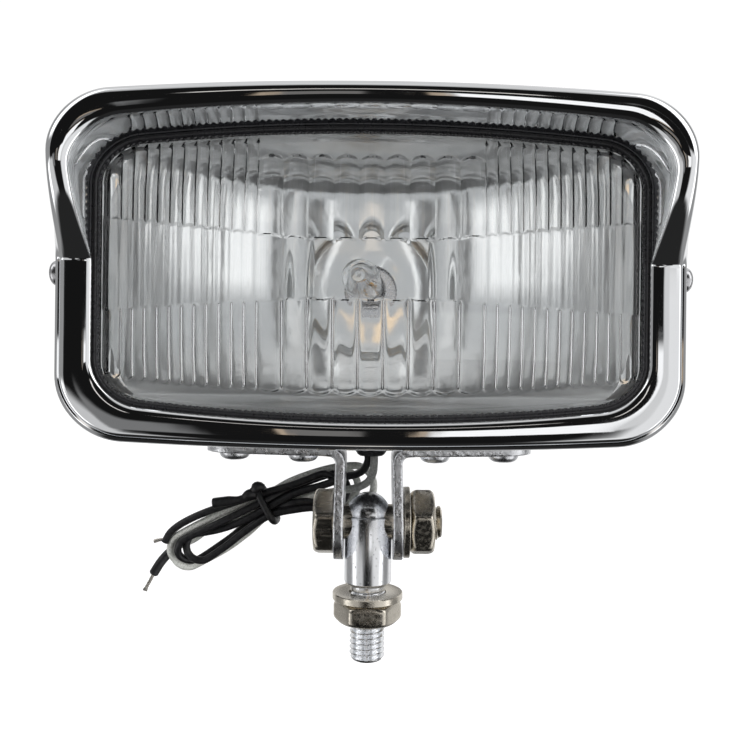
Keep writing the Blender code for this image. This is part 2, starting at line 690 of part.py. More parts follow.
def make_free_leads(head):
    outline_points = hank_outline()
    rings = [[(x, y, z) for x, z in outline_points] for y in (HANK_FRONT_Y, HANK_REAR_Y)]
    loft("lead_hank", rings, "black_pvc", head)
    black_x, black_y = LEAD_AT["black"]
    white_x, white_y = LEAD_AT["white"]
    black = [(black_x, black_y, 38.0), (black_x, black_y, 36.2), (-1.6, 8.8, 33.4)]
    black += [(-4.0, 11.1, 31.7), (-6.6, 12.3, 30.9)]
    cord("black_lead", black, WIRE_RADIUS, 7, "black_pvc", head)
    white = [(white_x, white_y, 38.0), (white_x, white_y, 36.0), (1.2, 6.2, 32.8)]
    white += [(-0.2, 8.9, 29.9), (-2.8, 11.3, 28.0), (-5.4, 12.2, 27.2)]
    cord("white_lead", white, WIRE_RADIUS, 8, "white_pvc", head)
    make_tie(head)
    sleeve = [(-64.2, 18.0, 4.2), (-66.0, 17.9, 1.8), (-68.0, 17.8, -1.6)]
    cord("white_lead_sleeve", sleeve, SLEEVE_RADIUS, 4, "black_pvc", head)
    tip = [(-68.2, 17.8, -1.95), (-69.2, 17.8, -3.9), (-70.4, 17.8, -6.4)]
    cord("white_lead_tip", tip, TIP_RADIUS, 4, "copper", head)
    tip = [(-63.4, 16.0, 11.6), (-64.8, 15.8, 11.0), (-66.0, 15.6, 10.6)]
    cord("black_lead_tip", tip, TIP_RADIUS, 4, "copper", head)


def make_tie(head):
    """A flat band round the hank, with its twisted ends as a knob on top."""
    x, z = hank_spine(TIE_AT)
    ahead = Vector(hank_spine(TIE_AT + 0.01)) - Vector((x, z))
    lean = math.atan2(-ahead.y, -ahead.x)
    half = hank_half_height(TIE_AT) + 1.0
    middle_y = (HANK_FRONT_Y + HANK_REAR_Y) / 2
    half_y = (HANK_REAR_Y - HANK_FRONT_Y) / 2 + 0.5
    aim = Matrix.Rotation(-lean, 3, "Y")

    def loop(amount, offset):
        points = []
        for a, b in tie_outline(half_y + amount, half + amount):
            points.append(tuple(Vector((x, middle_y, z)) + aim @ Vector((offset, a, b))))
        return points

    sides = (-TIE_HALF_WIDTH, TIE_HALF_WIDTH)
    rings = [loop(0, sides[0]), loop(TIE_THICK, sides[0]), loop(TIE_THICK, sides[1]), loop(0, sides[1])]
    tie = loft("wire_tie", rings, "black_pvc", head, wrap=True)
    knob = Vector((x, HANK_FRONT_Y + 1.0, z)) + aim @ Vector((-1.0, 0, half + TIE_THICK))
    start = knob + aim @ Vector((2.0, 0.0, 0.0))
    tail = knob + aim @ Vector((-5.0, 0.0, -0.4))
    cut(tie, tube("knob", [tuple(start), tuple(tail)], 1.3, None), "UNION")


def tie_outline(half_y, half_z):
    """Points (y, z) round a rectangle with rounded corners."""
    corner = 0.9
    points = []
    for quarter, (sy, sz) in enumerate(((1, 1), (-1, 1), (-1, -1), (1, -1))):
        for i in range(4):
            a = math.radians(90) * (quarter + i / 3)
            y = sy * (half_y - corner) + corner * math.cos(a)
            points.append((y, sz * (half_z - corner) + corner * math.sin(a)))
    return points


def main():
    clear_scene()
    FINISHES.update(make_finishes())
    swivel = empty("swivel_joint", (0, 0, 0))
    head = empty("tilt_joint", (0, 0, PIVOT_Z), swivel)
    make_bezel(head)
    make_bezel_screws(head)
    make_lens(head)
    make_gasket(head)
    make_reflector(head)
    make_bulb(head)
    make_clip(head)
    make_housing(head)
    make_grommet(head)
    make_bracket(head, "bracket_left", -1)
    make_bracket(head, "bracket_right", 1)
    make_bracket_screws(head)
    make_pivot(head)
    make_inner_leads(head)
    make_free_leads(head)
    make_swivel(swivel)
    make_stud_fasteners()


main()
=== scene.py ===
"""Looks of the rectangular chrome fog light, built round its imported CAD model.

Lengths are in millimetres, as in the part's source, and become metres when a mesh is made.
+X is to the right as seen from the front, the lens faces -Y and +Z is up.
"""

import math

import bmesh
import bpy
import numpy as np
from mathutils import Matrix, Vector, noise


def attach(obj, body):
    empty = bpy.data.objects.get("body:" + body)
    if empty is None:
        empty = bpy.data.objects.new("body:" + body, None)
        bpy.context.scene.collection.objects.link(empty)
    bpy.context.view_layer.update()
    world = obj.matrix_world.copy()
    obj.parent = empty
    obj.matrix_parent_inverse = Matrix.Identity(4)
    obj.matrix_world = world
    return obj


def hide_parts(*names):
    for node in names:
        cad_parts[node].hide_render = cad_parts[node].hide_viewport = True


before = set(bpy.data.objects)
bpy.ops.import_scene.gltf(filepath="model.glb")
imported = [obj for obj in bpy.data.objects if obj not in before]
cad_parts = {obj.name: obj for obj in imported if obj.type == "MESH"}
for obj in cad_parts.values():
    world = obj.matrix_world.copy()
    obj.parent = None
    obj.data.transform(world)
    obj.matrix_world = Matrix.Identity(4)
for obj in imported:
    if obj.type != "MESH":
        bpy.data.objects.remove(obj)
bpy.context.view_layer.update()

MM = 0.001
HEAD = "lamp_head"

# Lamp head, as in the part's source. Heights in the head are measured from LAMP_Z.
LAMP_Z = 87.1
BEZEL_HALF = (80.0, 44.5)
BEZEL_RADIUS = 17.0
BEZEL_DROP = 2.4
OPENING_HALF = (70.0, 37.25)
OPENING_RADIUS = 12.0
OPENING_DROP = 4.7
SKIRT_REAR_Y = -12.0
VISOR_START = 3.0
VISOR_RISE = 24.0
HOUSING_REAR_Y = 42.0
HOUSING_WALL = 1.2
BULB_Y = 19.5

# Mount.
PIVOT_Z = 19.8
M10 = 5.0
M10_FLATS = 17.0
M10_PITCH = 1.5
BARREL_RADIUS = 6.7
SHOULDER_Z = 2.1
STUD_END_Z = -19.2
STUD_NUT_Z = -8.3
DOME_RADIUS = 6.3
DOME_Z = 22.0
EAR_INNER_X = 7.0
EAR_HALF_WIDTH = 10.6
STRAP = 2.7
STRAP_TOP_Z = 42.0
STRAP_END_X = 45.5
STRAP_BEND = 3.2
STRAP_LEAN = -0.5
STRAP_END_RADIUS = 8.0
STRAP_EDGE = 0.45
ROUGH_EDGE = 0.6
DENT = 0.16
SCREW_X = (18.8, 38.3)
SIDE_SCREW_Y = -22.0
M4 = 2.0
GAP = 0.3
PIVOT_TURN = math.radians(12)

# Leads, and the grommet that they leave the housing by.
GROMMET_AT = (0.6, 6.2)
WIRE_RADIUS = 1.15
SLEEVE_RADIUS = 1.45
STRAND_RADIUS = 0.19
TIE_RADIUS = 1.12
END_SHARE = 0.72
HANK_LENGTH = 64.0
TIE_AT = 0.52

# Share of a noise texture's strength that each finer octave keeps.
NOISE_ROUGHNESS = 0.55

# Camera, level and close, a little rolled.
CAMERA_AT = (0.0, -223.0, 63.1)
CAMERA_LENS = 37.95
CAMERA_ROLL = math.radians(0.65)


# ---------------------------------------------------------------- camera


def make_camera():
    """The camera, level and a little rolled."""
    data = bpy.data.cameras.new("camera")
    data.lens = CAMERA_LENS
    data.sensor_width = 36.0
    data.clip_start = 0.01
    data.clip_end = 20.0
    camera = bpy.data.objects.new("camera", data)
    bpy.context.scene.collection.objects.link(camera)
    camera.location = [c * MM for c in CAMERA_AT]
    upright = Matrix.Rotation(math.radians(90), 4, "X")
    roll = Matrix.Rotation(CAMERA_ROLL, 4, "Z")
    camera.rotation_euler = (upright @ roll).to_euler()
    bpy.context.scene.camera = camera


# ---------------------------------------------------------------- materials


class Finish:
    """A node material: one Principled shader, with textures in the object's own millimetres."""

    def __init__(self, name, colour, metallic, roughness, **sockets):
        self.material = bpy.data.materials.new(name)
        self.material.use_nodes = True
        self.tree = self.material.node_tree
        self.shader = self.tree.nodes["Principled BSDF"]
        self.put(self.shader, "Base Color", (*colour, 1.0))
        self.put(self.shader, "Metallic", metallic)
        self.put(self.shader, "Roughness", roughness)
        for socket, value in sockets.items():
            self.put(self.shader, socket.replace("_", " "), value)
        place = self.tree.nodes.new("ShaderNodeTexCoord")
        self.place = place.outputs["Object"]
        self.normal = None

    def put(self, node, socket, value):
        """Sets a socket to a number or colour, or links it to another node's output."""
        if isinstance(value, bpy.types.NodeSocket):
            self.tree.links.new(value, node.inputs[socket])
        else:
            node.inputs[socket].default_value = value

    def stretched(self, stretch):
        if stretch is None:
            return self.place
        mapping = self.tree.nodes.new("ShaderNodeMapping")
        self.put(mapping, "Vector", self.place)
        self.put(mapping, "Scale", stretch)
        return mapping.outputs["Vector"]

    def noise(self, size, detail=3.0, stretch=None):
        """Cloudy noise from 0 to 1, whose largest features are about size millimetres."""
        node = self.tree.nodes.new("ShaderNodeTexNoise")
        self.put(node, "Vector", self.stretched(stretch))
        self.put(node, "Scale", 1.0 / (size * MM))
        self.put(node, "Detail", detail)
        self.put(node, "Roughness", NOISE_ROUGHNESS)
        return node.outputs["Fac"]

    def spread(self, value, low, high, to_low=0.0, to_high=1.0):
        """Maps low..high on to to_low..to_high, with soft ends."""
        node = self.tree.nodes.new("ShaderNodeMapRange")
        node.interpolation_type = "SMOOTHSTEP"
        self.put(node, "Value", value)
        self.put(node, "From Min", low)
        self.put(node, "From Max", high)
        self.put(node, "To Min", to_low)
        self.put(node, "To Max", to_high)
        return node.outputs["Result"]

    def math(self, operation, first, second):
        node = self.tree.nodes.new("ShaderNodeMath")
        node.operation = operation
        for socket, value in zip(node.inputs, (first, second)):
            if isinstance(value, bpy.types.NodeSocket):
                self.tree.links.new(value, socket)
            else:
                socket.default_value = value
        return node.outputs[0]

    def blend(self, amount, first, second):
        node = self.tree.nodes.new("ShaderNodeMix")
        node.data_type = "RGBA"
        self.put(node, "Factor", amount)
        for socket, value in ((node.inputs[6], first), (node.inputs[7], second)):
            if isinstance(value, bpy.types.NodeSocket):
                self.tree.links.new(value, socket)
            else:
                socket.default_value = (*value, 1.0)
        return node.outputs[2]

    def colour(self, value):
        self.put(self.shader, "Base Color", value)

    def roughness(self, value):
        self.put(self.shader, "Roughness", value)

    def bump(self, height, depth):
        """Relief whose full range is depth millimetres; several bumps stack."""
        node = self.tree.nodes.new("ShaderNodeBump")
        self.put(node, "Distance", depth * MM)
        self.put(node, "Height", height)
        if self.normal is not None:
            self.put(node, "Normal", self.normal)
        self.normal = node.outputs["Normal"]
        self.put(self.shader, "Normal", self.normal)


def chrome(name, specks=0.0, ripple=0.036, rough=(0.025, 0.075)):
    """Bright plating with a faint ripple, and pits where specks is above 0."""
    f = Finish(name, (0.86, 0.87, 0.89), 1.0, 0.04)
    f.colour(f.blend(f.noise(18.0, 4.0), (0.80, 0.81, 0.83), (0.90, 0.91, 0.92)))
    f.roughness(f.spread(f.noise(6.0, 5.0), 0.35, 0.75, *rough))
    f.bump(f.noise(9.0, 1.0), ripple)
    if specks:
        pits = f.spread(f.noise(0.55, 2.0), 0.66, 0.72)
        tint = f.math("MULTIPLY", pits, specks)
        f.colour(f.blend(tint, (0.84, 0.85, 0.87), (0.16, 0.16, 0.18)))
        f.bump(pits, -0.05)
    return f.material


def zinc(name):
    """Zinc-plated pressed steel, its surface finely beaten."""
    f = Finish(name, (0.70, 0.71, 0.73), 1.0, 0.2)
    f.colour(f.blend(f.noise(2.5, 5.0), (0.62, 0.63, 0.66), (0.95, 0.96, 0.98)))
    f.roughness(f.spread(f.noise(1.6, 4.0), 0.3, 0.8, 0.22, 0.46))
    f.bump(f.noise(1.1, 3.0), 0.16)
    f.bump(f.noise(0.35, 2.0), 0.03)
    return f.material


def nickel(name, grain=(1.0, 1.0, 1.0)):
    """Warm grey nickel with fine drawn lines along grain's small component."""
    f = Finish(name, (0.58, 0.55, 0.48), 1.0, 0.2)
    f.colour(f.blend(f.noise(3.0, 5.0), (0.54, 0.50, 0.43), (0.77, 0.72, 0.63)))
    f.roughness(f.spread(f.noise(0.9, 3.0, grain), 0.3, 0.8, 0.17, 0.34))
    f.bump(f.noise(0.30, 2.0, grain), 0.022)
    return f.material


def glass(name, rough=0.0):
    f = Finish(name, (1.0, 1.0, 1.0), 0.0, rough, Transmission_Weight=1.0, IOR=1.49)
    f.colour(f.blend(f.noise(22.0, 3.0), (0.955, 0.97, 0.975), (0.985, 0.99, 0.99)))
    f.roughness(f.spread(f.noise(7.0, 3.0), 0.45, 0.8, rough, rough + 0.03))
    f.bump(f.noise(5.0, 2.0), 0.015)
    return f.material


def mirror(name):
    """Vacuum-metallised inside of the reflector, very slightly cloudy."""
    f = Finish(name, (0.9, 0.9, 0.9), 0.66, 0.2)
    f.colour(f.blend(f.noise(12.0, 5.0), (0.82, 0.83, 0.83), (0.95, 0.95, 0.95)))
    f.roughness(f.spread(f.noise(4.0, 4.0), 0.3, 0.8, 0.07, 0.14))
    f.bump(f.noise(6.0, 2.0), 0.05)
    return f.material


def rubber(name):
    f = Finish(name, (0.02, 0.02, 0.022), 0.0, 0.5, Specular_IOR_Level=0.5)
    f.colour(f.blend(f.noise(3.0, 5.0), (0.010, 0.010, 0.012), (0.032, 0.032, 0.035)))
    f.roughness(f.spread(f.noise(1.2, 4.0), 0.3, 0.8, 0.24, 0.5))
    f.bump(f.noise(0.4, 3.0), 0.03)
    return f.material


def paint(name):
    """Black stove enamel with an orange-peel surface."""
    f = Finish(name, (0.02, 0.02, 0.022), 0.0, 0.35, Coat_Weight=0.4, Coat_Roughness=0.15)
    f.colour(f.blend(f.noise(5.0, 5.0), (0.014, 0.014, 0.016), (0.035, 0.035, 0.038)))
    f.roughness(f.spread(f.noise(2.0, 4.0), 0.3, 0.8, 0.28, 0.5))
    f.bump(f.noise(0.9, 2.0), 0.035)
    return f.material


def vinyl(name, dark, light, grain, rough=(0.3, 0.5)):
    """A lead's insulation: mottled, with a fine grain in its surface."""
    f = Finish(name, dark, 0.0, 0.4, Specular_IOR_Level=0.45)
    f.colour(f.blend(f.spread(f.noise(grain, 4.0), 0.3, 0.7), dark, light))
    f.roughness(f.spread(f.noise(1.0, 4.0), 0.3, 0.8, *rough))
    f.bump(f.noise(0.45, 3.0), 0.05)
    return f.material


def metal(name, dark, light, rough, size=1.5):
    """Plain bare metal with mottled colour: copper, brass or steel inside the lamp."""
    f = Finish(name, light, 1.0, rough)
    f.colour(f.blend(f.noise(size, 5.0), dark, light))
    f.roughness(f.spread(f.noise(size / 2, 4.0), 0.3, 0.8, rough * 0.7, rough * 1.4))
    f.bump(f.noise(0.4, 3.0), 0.02)
    return f.material


def ceramic(name):
    f = Finish(name, (0.78, 0.76, 0.7), 0.0, 0.5)
    f.colour(f.blend(f.noise(1.5, 5.0), (0.66, 0.63, 0.56), (0.84, 0.82, 0.77)))
    f.roughness(f.spread(f.noise(0.8, 4.0), 0.3, 0.8, 0.4, 0.7))
    f.bump(f.noise(0.3, 3.0), 0.03)
    return f.material


FINISHES = {
    "chrome": chrome("bezel_chrome"),
    "barrel": chrome("barrel_chrome", specks=0.8, ripple=0.06, rough=(0.16, 0.27)),
    "zinc": zinc("zinc_plate"),
    "nickel": nickel("nickel_plate"),
    "brushed": nickel("nickel_drawn", (0.15, 1.0, 1.0)),
    "lens": glass("lens_glass"),
    "bulb": glass("bulb_quartz", 0.01),
    "mirror": mirror("reflector_metal"),
    "rubber": rubber("black_rubber"),
    "paint": paint("black_enamel"),
    "black_pvc": vinyl("black_vinyl", (0.008, 0.008, 0.009), (0.022, 0.022, 0.024), 0.9),
    "white_pvc": vinyl("white_vinyl", (0.55, 0.56, 0.52), (0.85, 0.86, 0.82), 0.6, (0.4, 0.6)),
    "copper": metal("tinned_copper", (0.42, 0.40, 0.37), (0.72, 0.69, 0.64), 0.28, 0.4),
    "brass": metal("brass", (0.62, 0.36, 0.10), (0.85, 0.55, 0.20), 0.25),
    "steel": metal("bright_steel", (0.48, 0.48, 0.49), (0.74, 0.74, 0.76), 0.24),
    "ceramic": ceramic("ceramic"),
}


# ---------------------------------------------------------------- mesh helpers


def piece(name, points, faces, finish, body=HEAD, replaces=(), sharp=35):
    """One piece from points in millimetres, riding on a body and standing for CAD nodes."""
    mesh = bpy.data.meshes.new(name)
    coordinates = np.asarray(points, float) * MM
    mesh.from_pydata(coordinates.tolist(), [], faces)
    work = bmesh.new()
    work.from_mesh(mesh)
    bmesh.ops.recalc_face_normals(work, faces=work.faces)
    work.to_mesh(mesh)
    work.free()
    mesh.shade_smooth()
    mesh.set_sharp_from_angle(angle=math.radians(sharp))
    mesh.materials.append(FINISHES[finish])
    obj = bpy.data.objects.new(name, mesh)
    bpy.context.scene.collection.objects.link(obj)
    dress(obj, body, replaces)
    return obj


def dress(obj, body, replaces=()):
    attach(obj, body)
    if replaces:
        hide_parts(*replaces)


def skin(rings, wrap=False):
    """Points and faces of a skin over rings of equal length, joined end to end or capped."""
    rings = [np.asarray(r, float) for r in rings]
    count = len(rings[0])
    faces = []
    last = len(rings) if wrap else len(rings) - 1
    for i in range(last):
        a = i * count
        b = (i + 1) % len(rings) * count
        for j in range(count):
            k = (j + 1) % count
            faces.append((a + j, a + k, b + k, b + j))
    if not wrap:
        faces.append(tuple(range(count)))
        faces.append(tuple(range((len(rings) - 1) * count, len(rings) * count)))
    return np.concatenate(rings), faces


def aimed(points, origin, axis, turn=0.0):
    """Points made round +Z, moved so that they go round another axis."""
    aim = Vector((0, 0, 1)).rotation_difference(Vector(axis)).to_matrix()
    spin = np.array(aim @ Matrix.Rotation(turn, 3, "Z"))
    return np.asarray(points, float) @ spin.T + np.asarray(origin, float)


def turned_rings(profile, sides, shape=None):
    """Rings round +Z for a profile of (radius, height). shape(angle, radius, height) may
    alter the radius."""
    angle = np.arange(sides) * 2 * math.pi / sides
    rings = []
    for radius, height in profile:
        r = np.full(sides, radius, float) if shape is None else shape(angle, radius, height)
        rings.append(np.stack([r * np.cos(angle), r * np.sin(angle), np.full(sides, height)], 1))
    return rings


def turned(name, profile, finish, origin, axis, body=HEAD, replaces=(), wrap=False,
           sides=96, shape=None, turn=0.0, sharp=35):
    points, faces = skin(turned_rings(profile, sides, shape), wrap)
    return piece(name, aimed(points, origin, axis, turn), faces, finish, body, replaces, sharp)


def smooth(knots, step):
    """Points about step apart on a Catmull-Rom curve through the knots."""
    p = [np.array(k, float) for k in knots]
    p = [2 * p[0] - p[1]] + p + [2 * p[-1] - p[-2]]
    fine = []
    for i in range(1, len(p) - 2):
        for t in np.linspace(0, 1, 16, endpoint=False):
            a = 2 * p[i]
            b = p[i + 1] - p[i - 1]
            c = 2 * p[i - 1] - 5 * p[i] + 4 * p[i + 1] - p[i + 2]
            d = 3 * p[i] - p[i - 1] - 3 * p[i + 1] + p[i + 2]
            fine.append((a + b * t + c * t**2 + d * t**3) / 2)
    fine.append(p[-2])
    return evenly(np.array(fine), step)


def evenly(fine, step=None, count=None, closed=False):
    """A polyline's points again, evenly spaced along it."""
    if closed:
        fine = np.vstack([fine, fine[:1]])
    run = np.concatenate([[0], np.cumsum(np.linalg.norm(np.diff(fine, axis=0), axis=1))])
    count = count or max(2, int(round(run[-1] / step)) + 1)
    at = np.linspace(0, run[-1], count + closed)[: count if closed else None]
    return np.stack([np.interp(at, run, fine[:, k]) for k in range(fine.shape[1])], 1)


def run_length(points):
    return float(np.linalg.norm(np.diff(points, axis=0), axis=1).sum())


def tube_rings(route, radius, sides=14):
    """Rings along a route that never twist. radius is a number, or one for each point."""
    route = np.asarray(route, float)
    radii = np.broadcast_to(radius, len(route))
    along = np.gradient(route, axis=0)
    along /= np.linalg.norm(along, axis=1)[:, None]
    side = Vector(along[0]).orthogonal().normalized()
    angle = np.arange(sides) * 2 * math.pi / sides
    rings = []
    for i, (centre, direction) in enumerate(zip(route, along)):
        direction = Vector(direction)
        if i:
            side = Vector(along[i - 1]).rotation_difference(direction) @ side
        side = (side - direction * side.dot(direction)).normalized()
        other = direction.cross(side)
        spokes = np.outer(np.cos(angle), side) + np.outer(np.sin(angle), other)
        rings.append(centre + radii[i] * spokes)
    return rings


def rounded_end(route, radius, length=0.5):
    """Radii along a tube whose two ends are slightly rounded over."""
    route = np.asarray(route, float)
    run = np.concatenate([[0], np.cumsum(np.linalg.norm(np.diff(route, axis=0), axis=1))])
    edge = np.minimum(run, run[-1] - run)
    t = np.clip(edge / length, 0, 1)
    return radius * (END_SHARE + (1 - END_SHARE) * np.sqrt(1 - (1 - t) ** 2))


def tube(name, route, radius, finish, body=HEAD, replaces=(), sides=16):
    points, faces = skin(tube_rings(route, radius, sides))
    return piece(name, points, faces, finish, body, replaces)


def joined(name, parts, finish, body=HEAD, replaces=(), sharp=35):
    """One piece from several (points, faces) shapes."""
    points = []
    faces = []
    start = 0
    for p, f in parts:
        points.append(p)
        faces += [tuple(i + start for i in face) for face in f]
        start += len(p)
    return piece(name, np.concatenate(points), faces, finish, body, replaces, sharp)


# ---------------------------------------------------------------- leads


# From the grommet to the hank.
BLACK_START = [
    (-0.3, 7.3, 38.0), (-0.3, 7.3, 36.2), (-1.6, 8.8, 33.4), (-4.0, 11.1, 31.7), (-6.6, 12.3, 30.9),
]
WHITE_START = [
    (1.5, 5.1, 38.0), (1.5, 5.1, 36.0), (1.2, 6.2, 32.8), (-0.2, 8.9, 29.9), (-2.8, 11.3, 28.0),
    (-5.4, 12.2, 27.2),
]

# Each pass along the hank: share of its length from the right, height across it, and depth Y.
BLACK_PASSES = [
    [(0.24, 1.4, 13.7), (0.38, 0.6, 14.4), (0.52, -1.2, 14.9), (0.66, -2.1, 15.2), (0.76, -1.3, 15.7),
     (0.86, 1.0, 15.9)],
    [(0.86, -7.6, 16.4), (0.76, -6.9, 16.2), (0.66, -5.4, 15.6), (0.52, -3.55, 14.9), (0.38, -4.3, 14.8),
     (0.21, -5.4, 15.0)],
    [(0.21, 3.8, 17.9), (0.38, 2.3, 17.0), (0.52, 1.2, 14.9), (0.66, 0.6, 14.4), (0.76, 0.6, 13.9),
     (0.89, 1.3, 13.7)],
    [(0.89, -6.6, 18.6), (0.76, -5.8, 18.4), (0.66, -4.4, 17.6), (0.52, -2.4, 17.2), (0.38, -2.1, 14.7),
     (0.25, -4.4, 17.2)],
    [(0.25, 4.5, 15.3), (0.38, 3.3, 14.7), (0.52, 3.55, 14.9), (0.66, 4.3, 14.6), (0.78, 5.3, 14.9),
     (0.87, 5.7, 15.3), (0.93, 5.2, 15.7), (0.972, 3.6, 15.9)],
]
WHITE_PASSES = [
    [(0.24, -1.3, 15.2), (0.38, -1.2, 16.7), (0.52, 0.0, 16.9), (0.66, -0.8, 16.8), (0.77, 0.5, 17.8),
     (0.925, 1.8, 18.4)],
    [(0.925, -7.6, 18.6), (0.78, -7.9, 18.7), (0.66, -6.5, 18.7), (0.52, -3.6, 19.3), (0.38, -4.8, 18.6),
     (0.25, -6.3, 18.4), (0.105, -6.9, 18.3)],
    [(0.105, 5.6, 18.3), (0.22, 5.5, 18.3), (0.38, 4.3, 17.6), (0.52, 2.4, 17.2), (0.66, 2.6, 16.9),
     (0.77, 2.8, 16.7), (0.915, 3.1, 16.5)],
    [(0.915, -7.3, 20.4), (0.78, -6.4, 20.6), (0.66, -4.2, 20.4), (0.52, -1.2, 19.6), (0.38, -2.6, 20.4),
     (0.16, -5.2, 20.6)],
    [(0.16, 4.3, 20.6), (0.38, 2.8, 20.3), (0.52, 1.2, 19.5), (0.66, 0.8, 19.6), (0.78, 0.2, 20.2),
     (0.88, -0.6, 20.6)],
]
WHITE_END = [(-57.4, 20.8, 8.4), (-60.4, 20.6, 6.7)]
SLEEVE = [(-60.2, 20.6, 6.85), (-62.4, 20.0, 5.0), (-64.5, 19.2, 2.4), (-66.5, 18.6, -1.0)]
FOLD_STEPS = 6


def hank_spine(u):
    """Centre (x, z) of the hank, from its right end to its left: it droops to the left."""
    return 2.0 - HANK_LENGTH * u, 28.3 - 1.5 * u - 21.3 * u * u


def hank_frame(u):
    """The spine's point at u, the direction to the left along it, and the one up across it."""
    x, z = hank_spine(u)
    ahead = np.array(hank_spine(u + 0.01)) - (x, z)
    ahead /= np.linalg.norm(ahead)
    along = np.array([ahead[0], 0.0, ahead[1]])
    across = np.array([ahead[1], 0.0, -ahead[0]])
    return np.array([x, 0.0, z]), along, across


def hank_point(station):
    u, height, depth = station
    centre, _, across = hank_frame(u)
    return centre + across * height + np.array([0.0, depth, 0.0])


def fold(start, end, outward):
    """A half turn between the ends of two passes. outward is 1 at the left end, -1 at the right."""
    a = hank_point(start)
    b = hank_point(end)
    _, along, _ = hank_frame((start[0] + end[0]) / 2)
    half = (a - b) / 2
    middle = (a + b) / 2
    reach = along * np.linalg.norm(half) * outward
    turns = [math.pi * i / FOLD_STEPS for i in range(1, FOLD_STEPS)]
    return [middle + math.cos(t) * half + math.sin(t) * reach for t in turns]


def lead_route(start, passes, end=()):
    """From the grommet into the hank, to and fro along it, and out to the lead's end."""
    knots = [np.array(p) for p in start]
    for i, stations in enumerate(passes):
        knots += [hank_point(s) for s in stations]
        if i + 1 < len(passes):
            knots += fold(stations[-1], passes[i + 1][0], 1 if i % 2 == 0 else -1)
    knots += [np.array(p) for p in end]
    return smooth(knots, 0.8)


def lead(name, route, finish, replaces):
    """A free lead: a round curve along its route, at its real length."""
    data = bpy.data.curves.new(name, "CURVE")
    data.dimensions = "3D"
    data.bevel_depth = WIRE_RADIUS * MM
    data.bevel_resolution = 5
    data.use_fill_caps = True
    spline = data.splines.new("POLY")
    spline.points.add(len(route) - 1)
    for point, place in zip(spline.points, route):
        point.co = (*(place * MM), 1.0)
    data.materials.append(FINISHES[finish])
    obj = bpy.data.objects.new(name, data)
    bpy.context.scene.collection.objects.link(obj)
    dress(obj, HEAD, replaces)


def stranded_tip(name, route, replaces):
    """A bare conductor end: seven tinned strands twisted together, slightly frayed."""
    route = smooth(route, 0.25)
    share = np.linspace(0, 1, len(route))
    parts = []
    centre_frames = tube_rings(route, 1.0, 4)
    for i in range(7):
        out = 0.0 if i == 0 else 0.34
        strand = []
        for k, (point, ring) in enumerate(zip(route, centre_frames)):
            turn = 2 * math.pi * i / 6 + share[k] * 5.0
            side = (ring[0] - point) * math.cos(turn) + (ring[1] - point) * math.sin(turn)
            strand.append(point + side * out * (1 + 0.35 * share[k] ** 4 * (i % 3)))
        rings = tube_rings(strand, rounded_end(strand, STRAND_RADIUS, 0.15), 8)
        parts.append(skin(rings))
    return joined(name, parts, "copper", HEAD, replaces)


def wire_tie():
    """A soft plastic-covered tie, once round the hank, its ends twisted into a knob and a tail."""
    centre, along, across = hank_frame(TIE_AT)
    middle_y = 17.35
    half_y = 4.6
    half_z = 5.9
    square = 3.2
    steps = 48
    loop = []
    for i in range(steps):
        a = 2 * math.pi * i / steps
        reach = (abs(math.cos(a)) ** square + abs(math.sin(a)) ** square) ** (-1 / square)
        y = middle_y - half_y * reach * math.cos(a)
        z = half_z * reach * math.sin(a)
        slant = 0.9 * math.sin(a) + 0.25 * math.cos(a)
        loop.append(centre + np.array([0.0, y, 0.0]) + across * z + along * slant)
    loop = evenly(np.array(loop), count=90, closed=True)
    band = skin(tube_rings(np.vstack([loop, loop[:1]]), TIE_RADIUS, 14)[:-1], wrap=True)

    def at(left, up, depth):
        return centre + np.array([0.0, depth, 0.0]) + along * left + across * up

    bulge = [at(-1.6, 5.2, 12.9), at(0.0, 6.1, 12.7), at(1.4, 5.6, 12.6), at(3.0, 5.2, 12.9)]
    knob = smooth(bulge, 0.35)
    width = 1.0 + 0.75 * np.exp(-((np.linspace(0, 1, len(knob)) - 0.45) / 0.24) ** 2)
    second = smooth([at(1.6, 4.0, 12.8), at(3.0, 4.9, 12.5), at(4.6, 4.6, 12.6), at(6.0, 3.9, 12.9)], 0.35)
    swell = 1.0 + 0.5 * np.exp(-((np.linspace(0, 1, len(second)) - 0.4) / 0.3) ** 2)
    tail = smooth([at(3.6, 4.4, 12.7), at(7.0, 4.4, 12.6), at(10.5, 5.2, 12.7), at(14.6, 6.0, 12.9)], 0.35)
    spread = np.interp(np.linspace(0, 1, len(tail)), [0, 0.3, 0.55, 0.97, 1], [1.1, 1.15, 1.5, 1.6, 1.35])
    parts = [band, skin(tube_rings(knob, width, 14)), skin(tube_rings(second, swell, 14)),
             skin(tube_rings(tail, spread, 14))]
    return joined("wire_tie_twist", parts, "black_pvc", HEAD, ("wire_tie",))


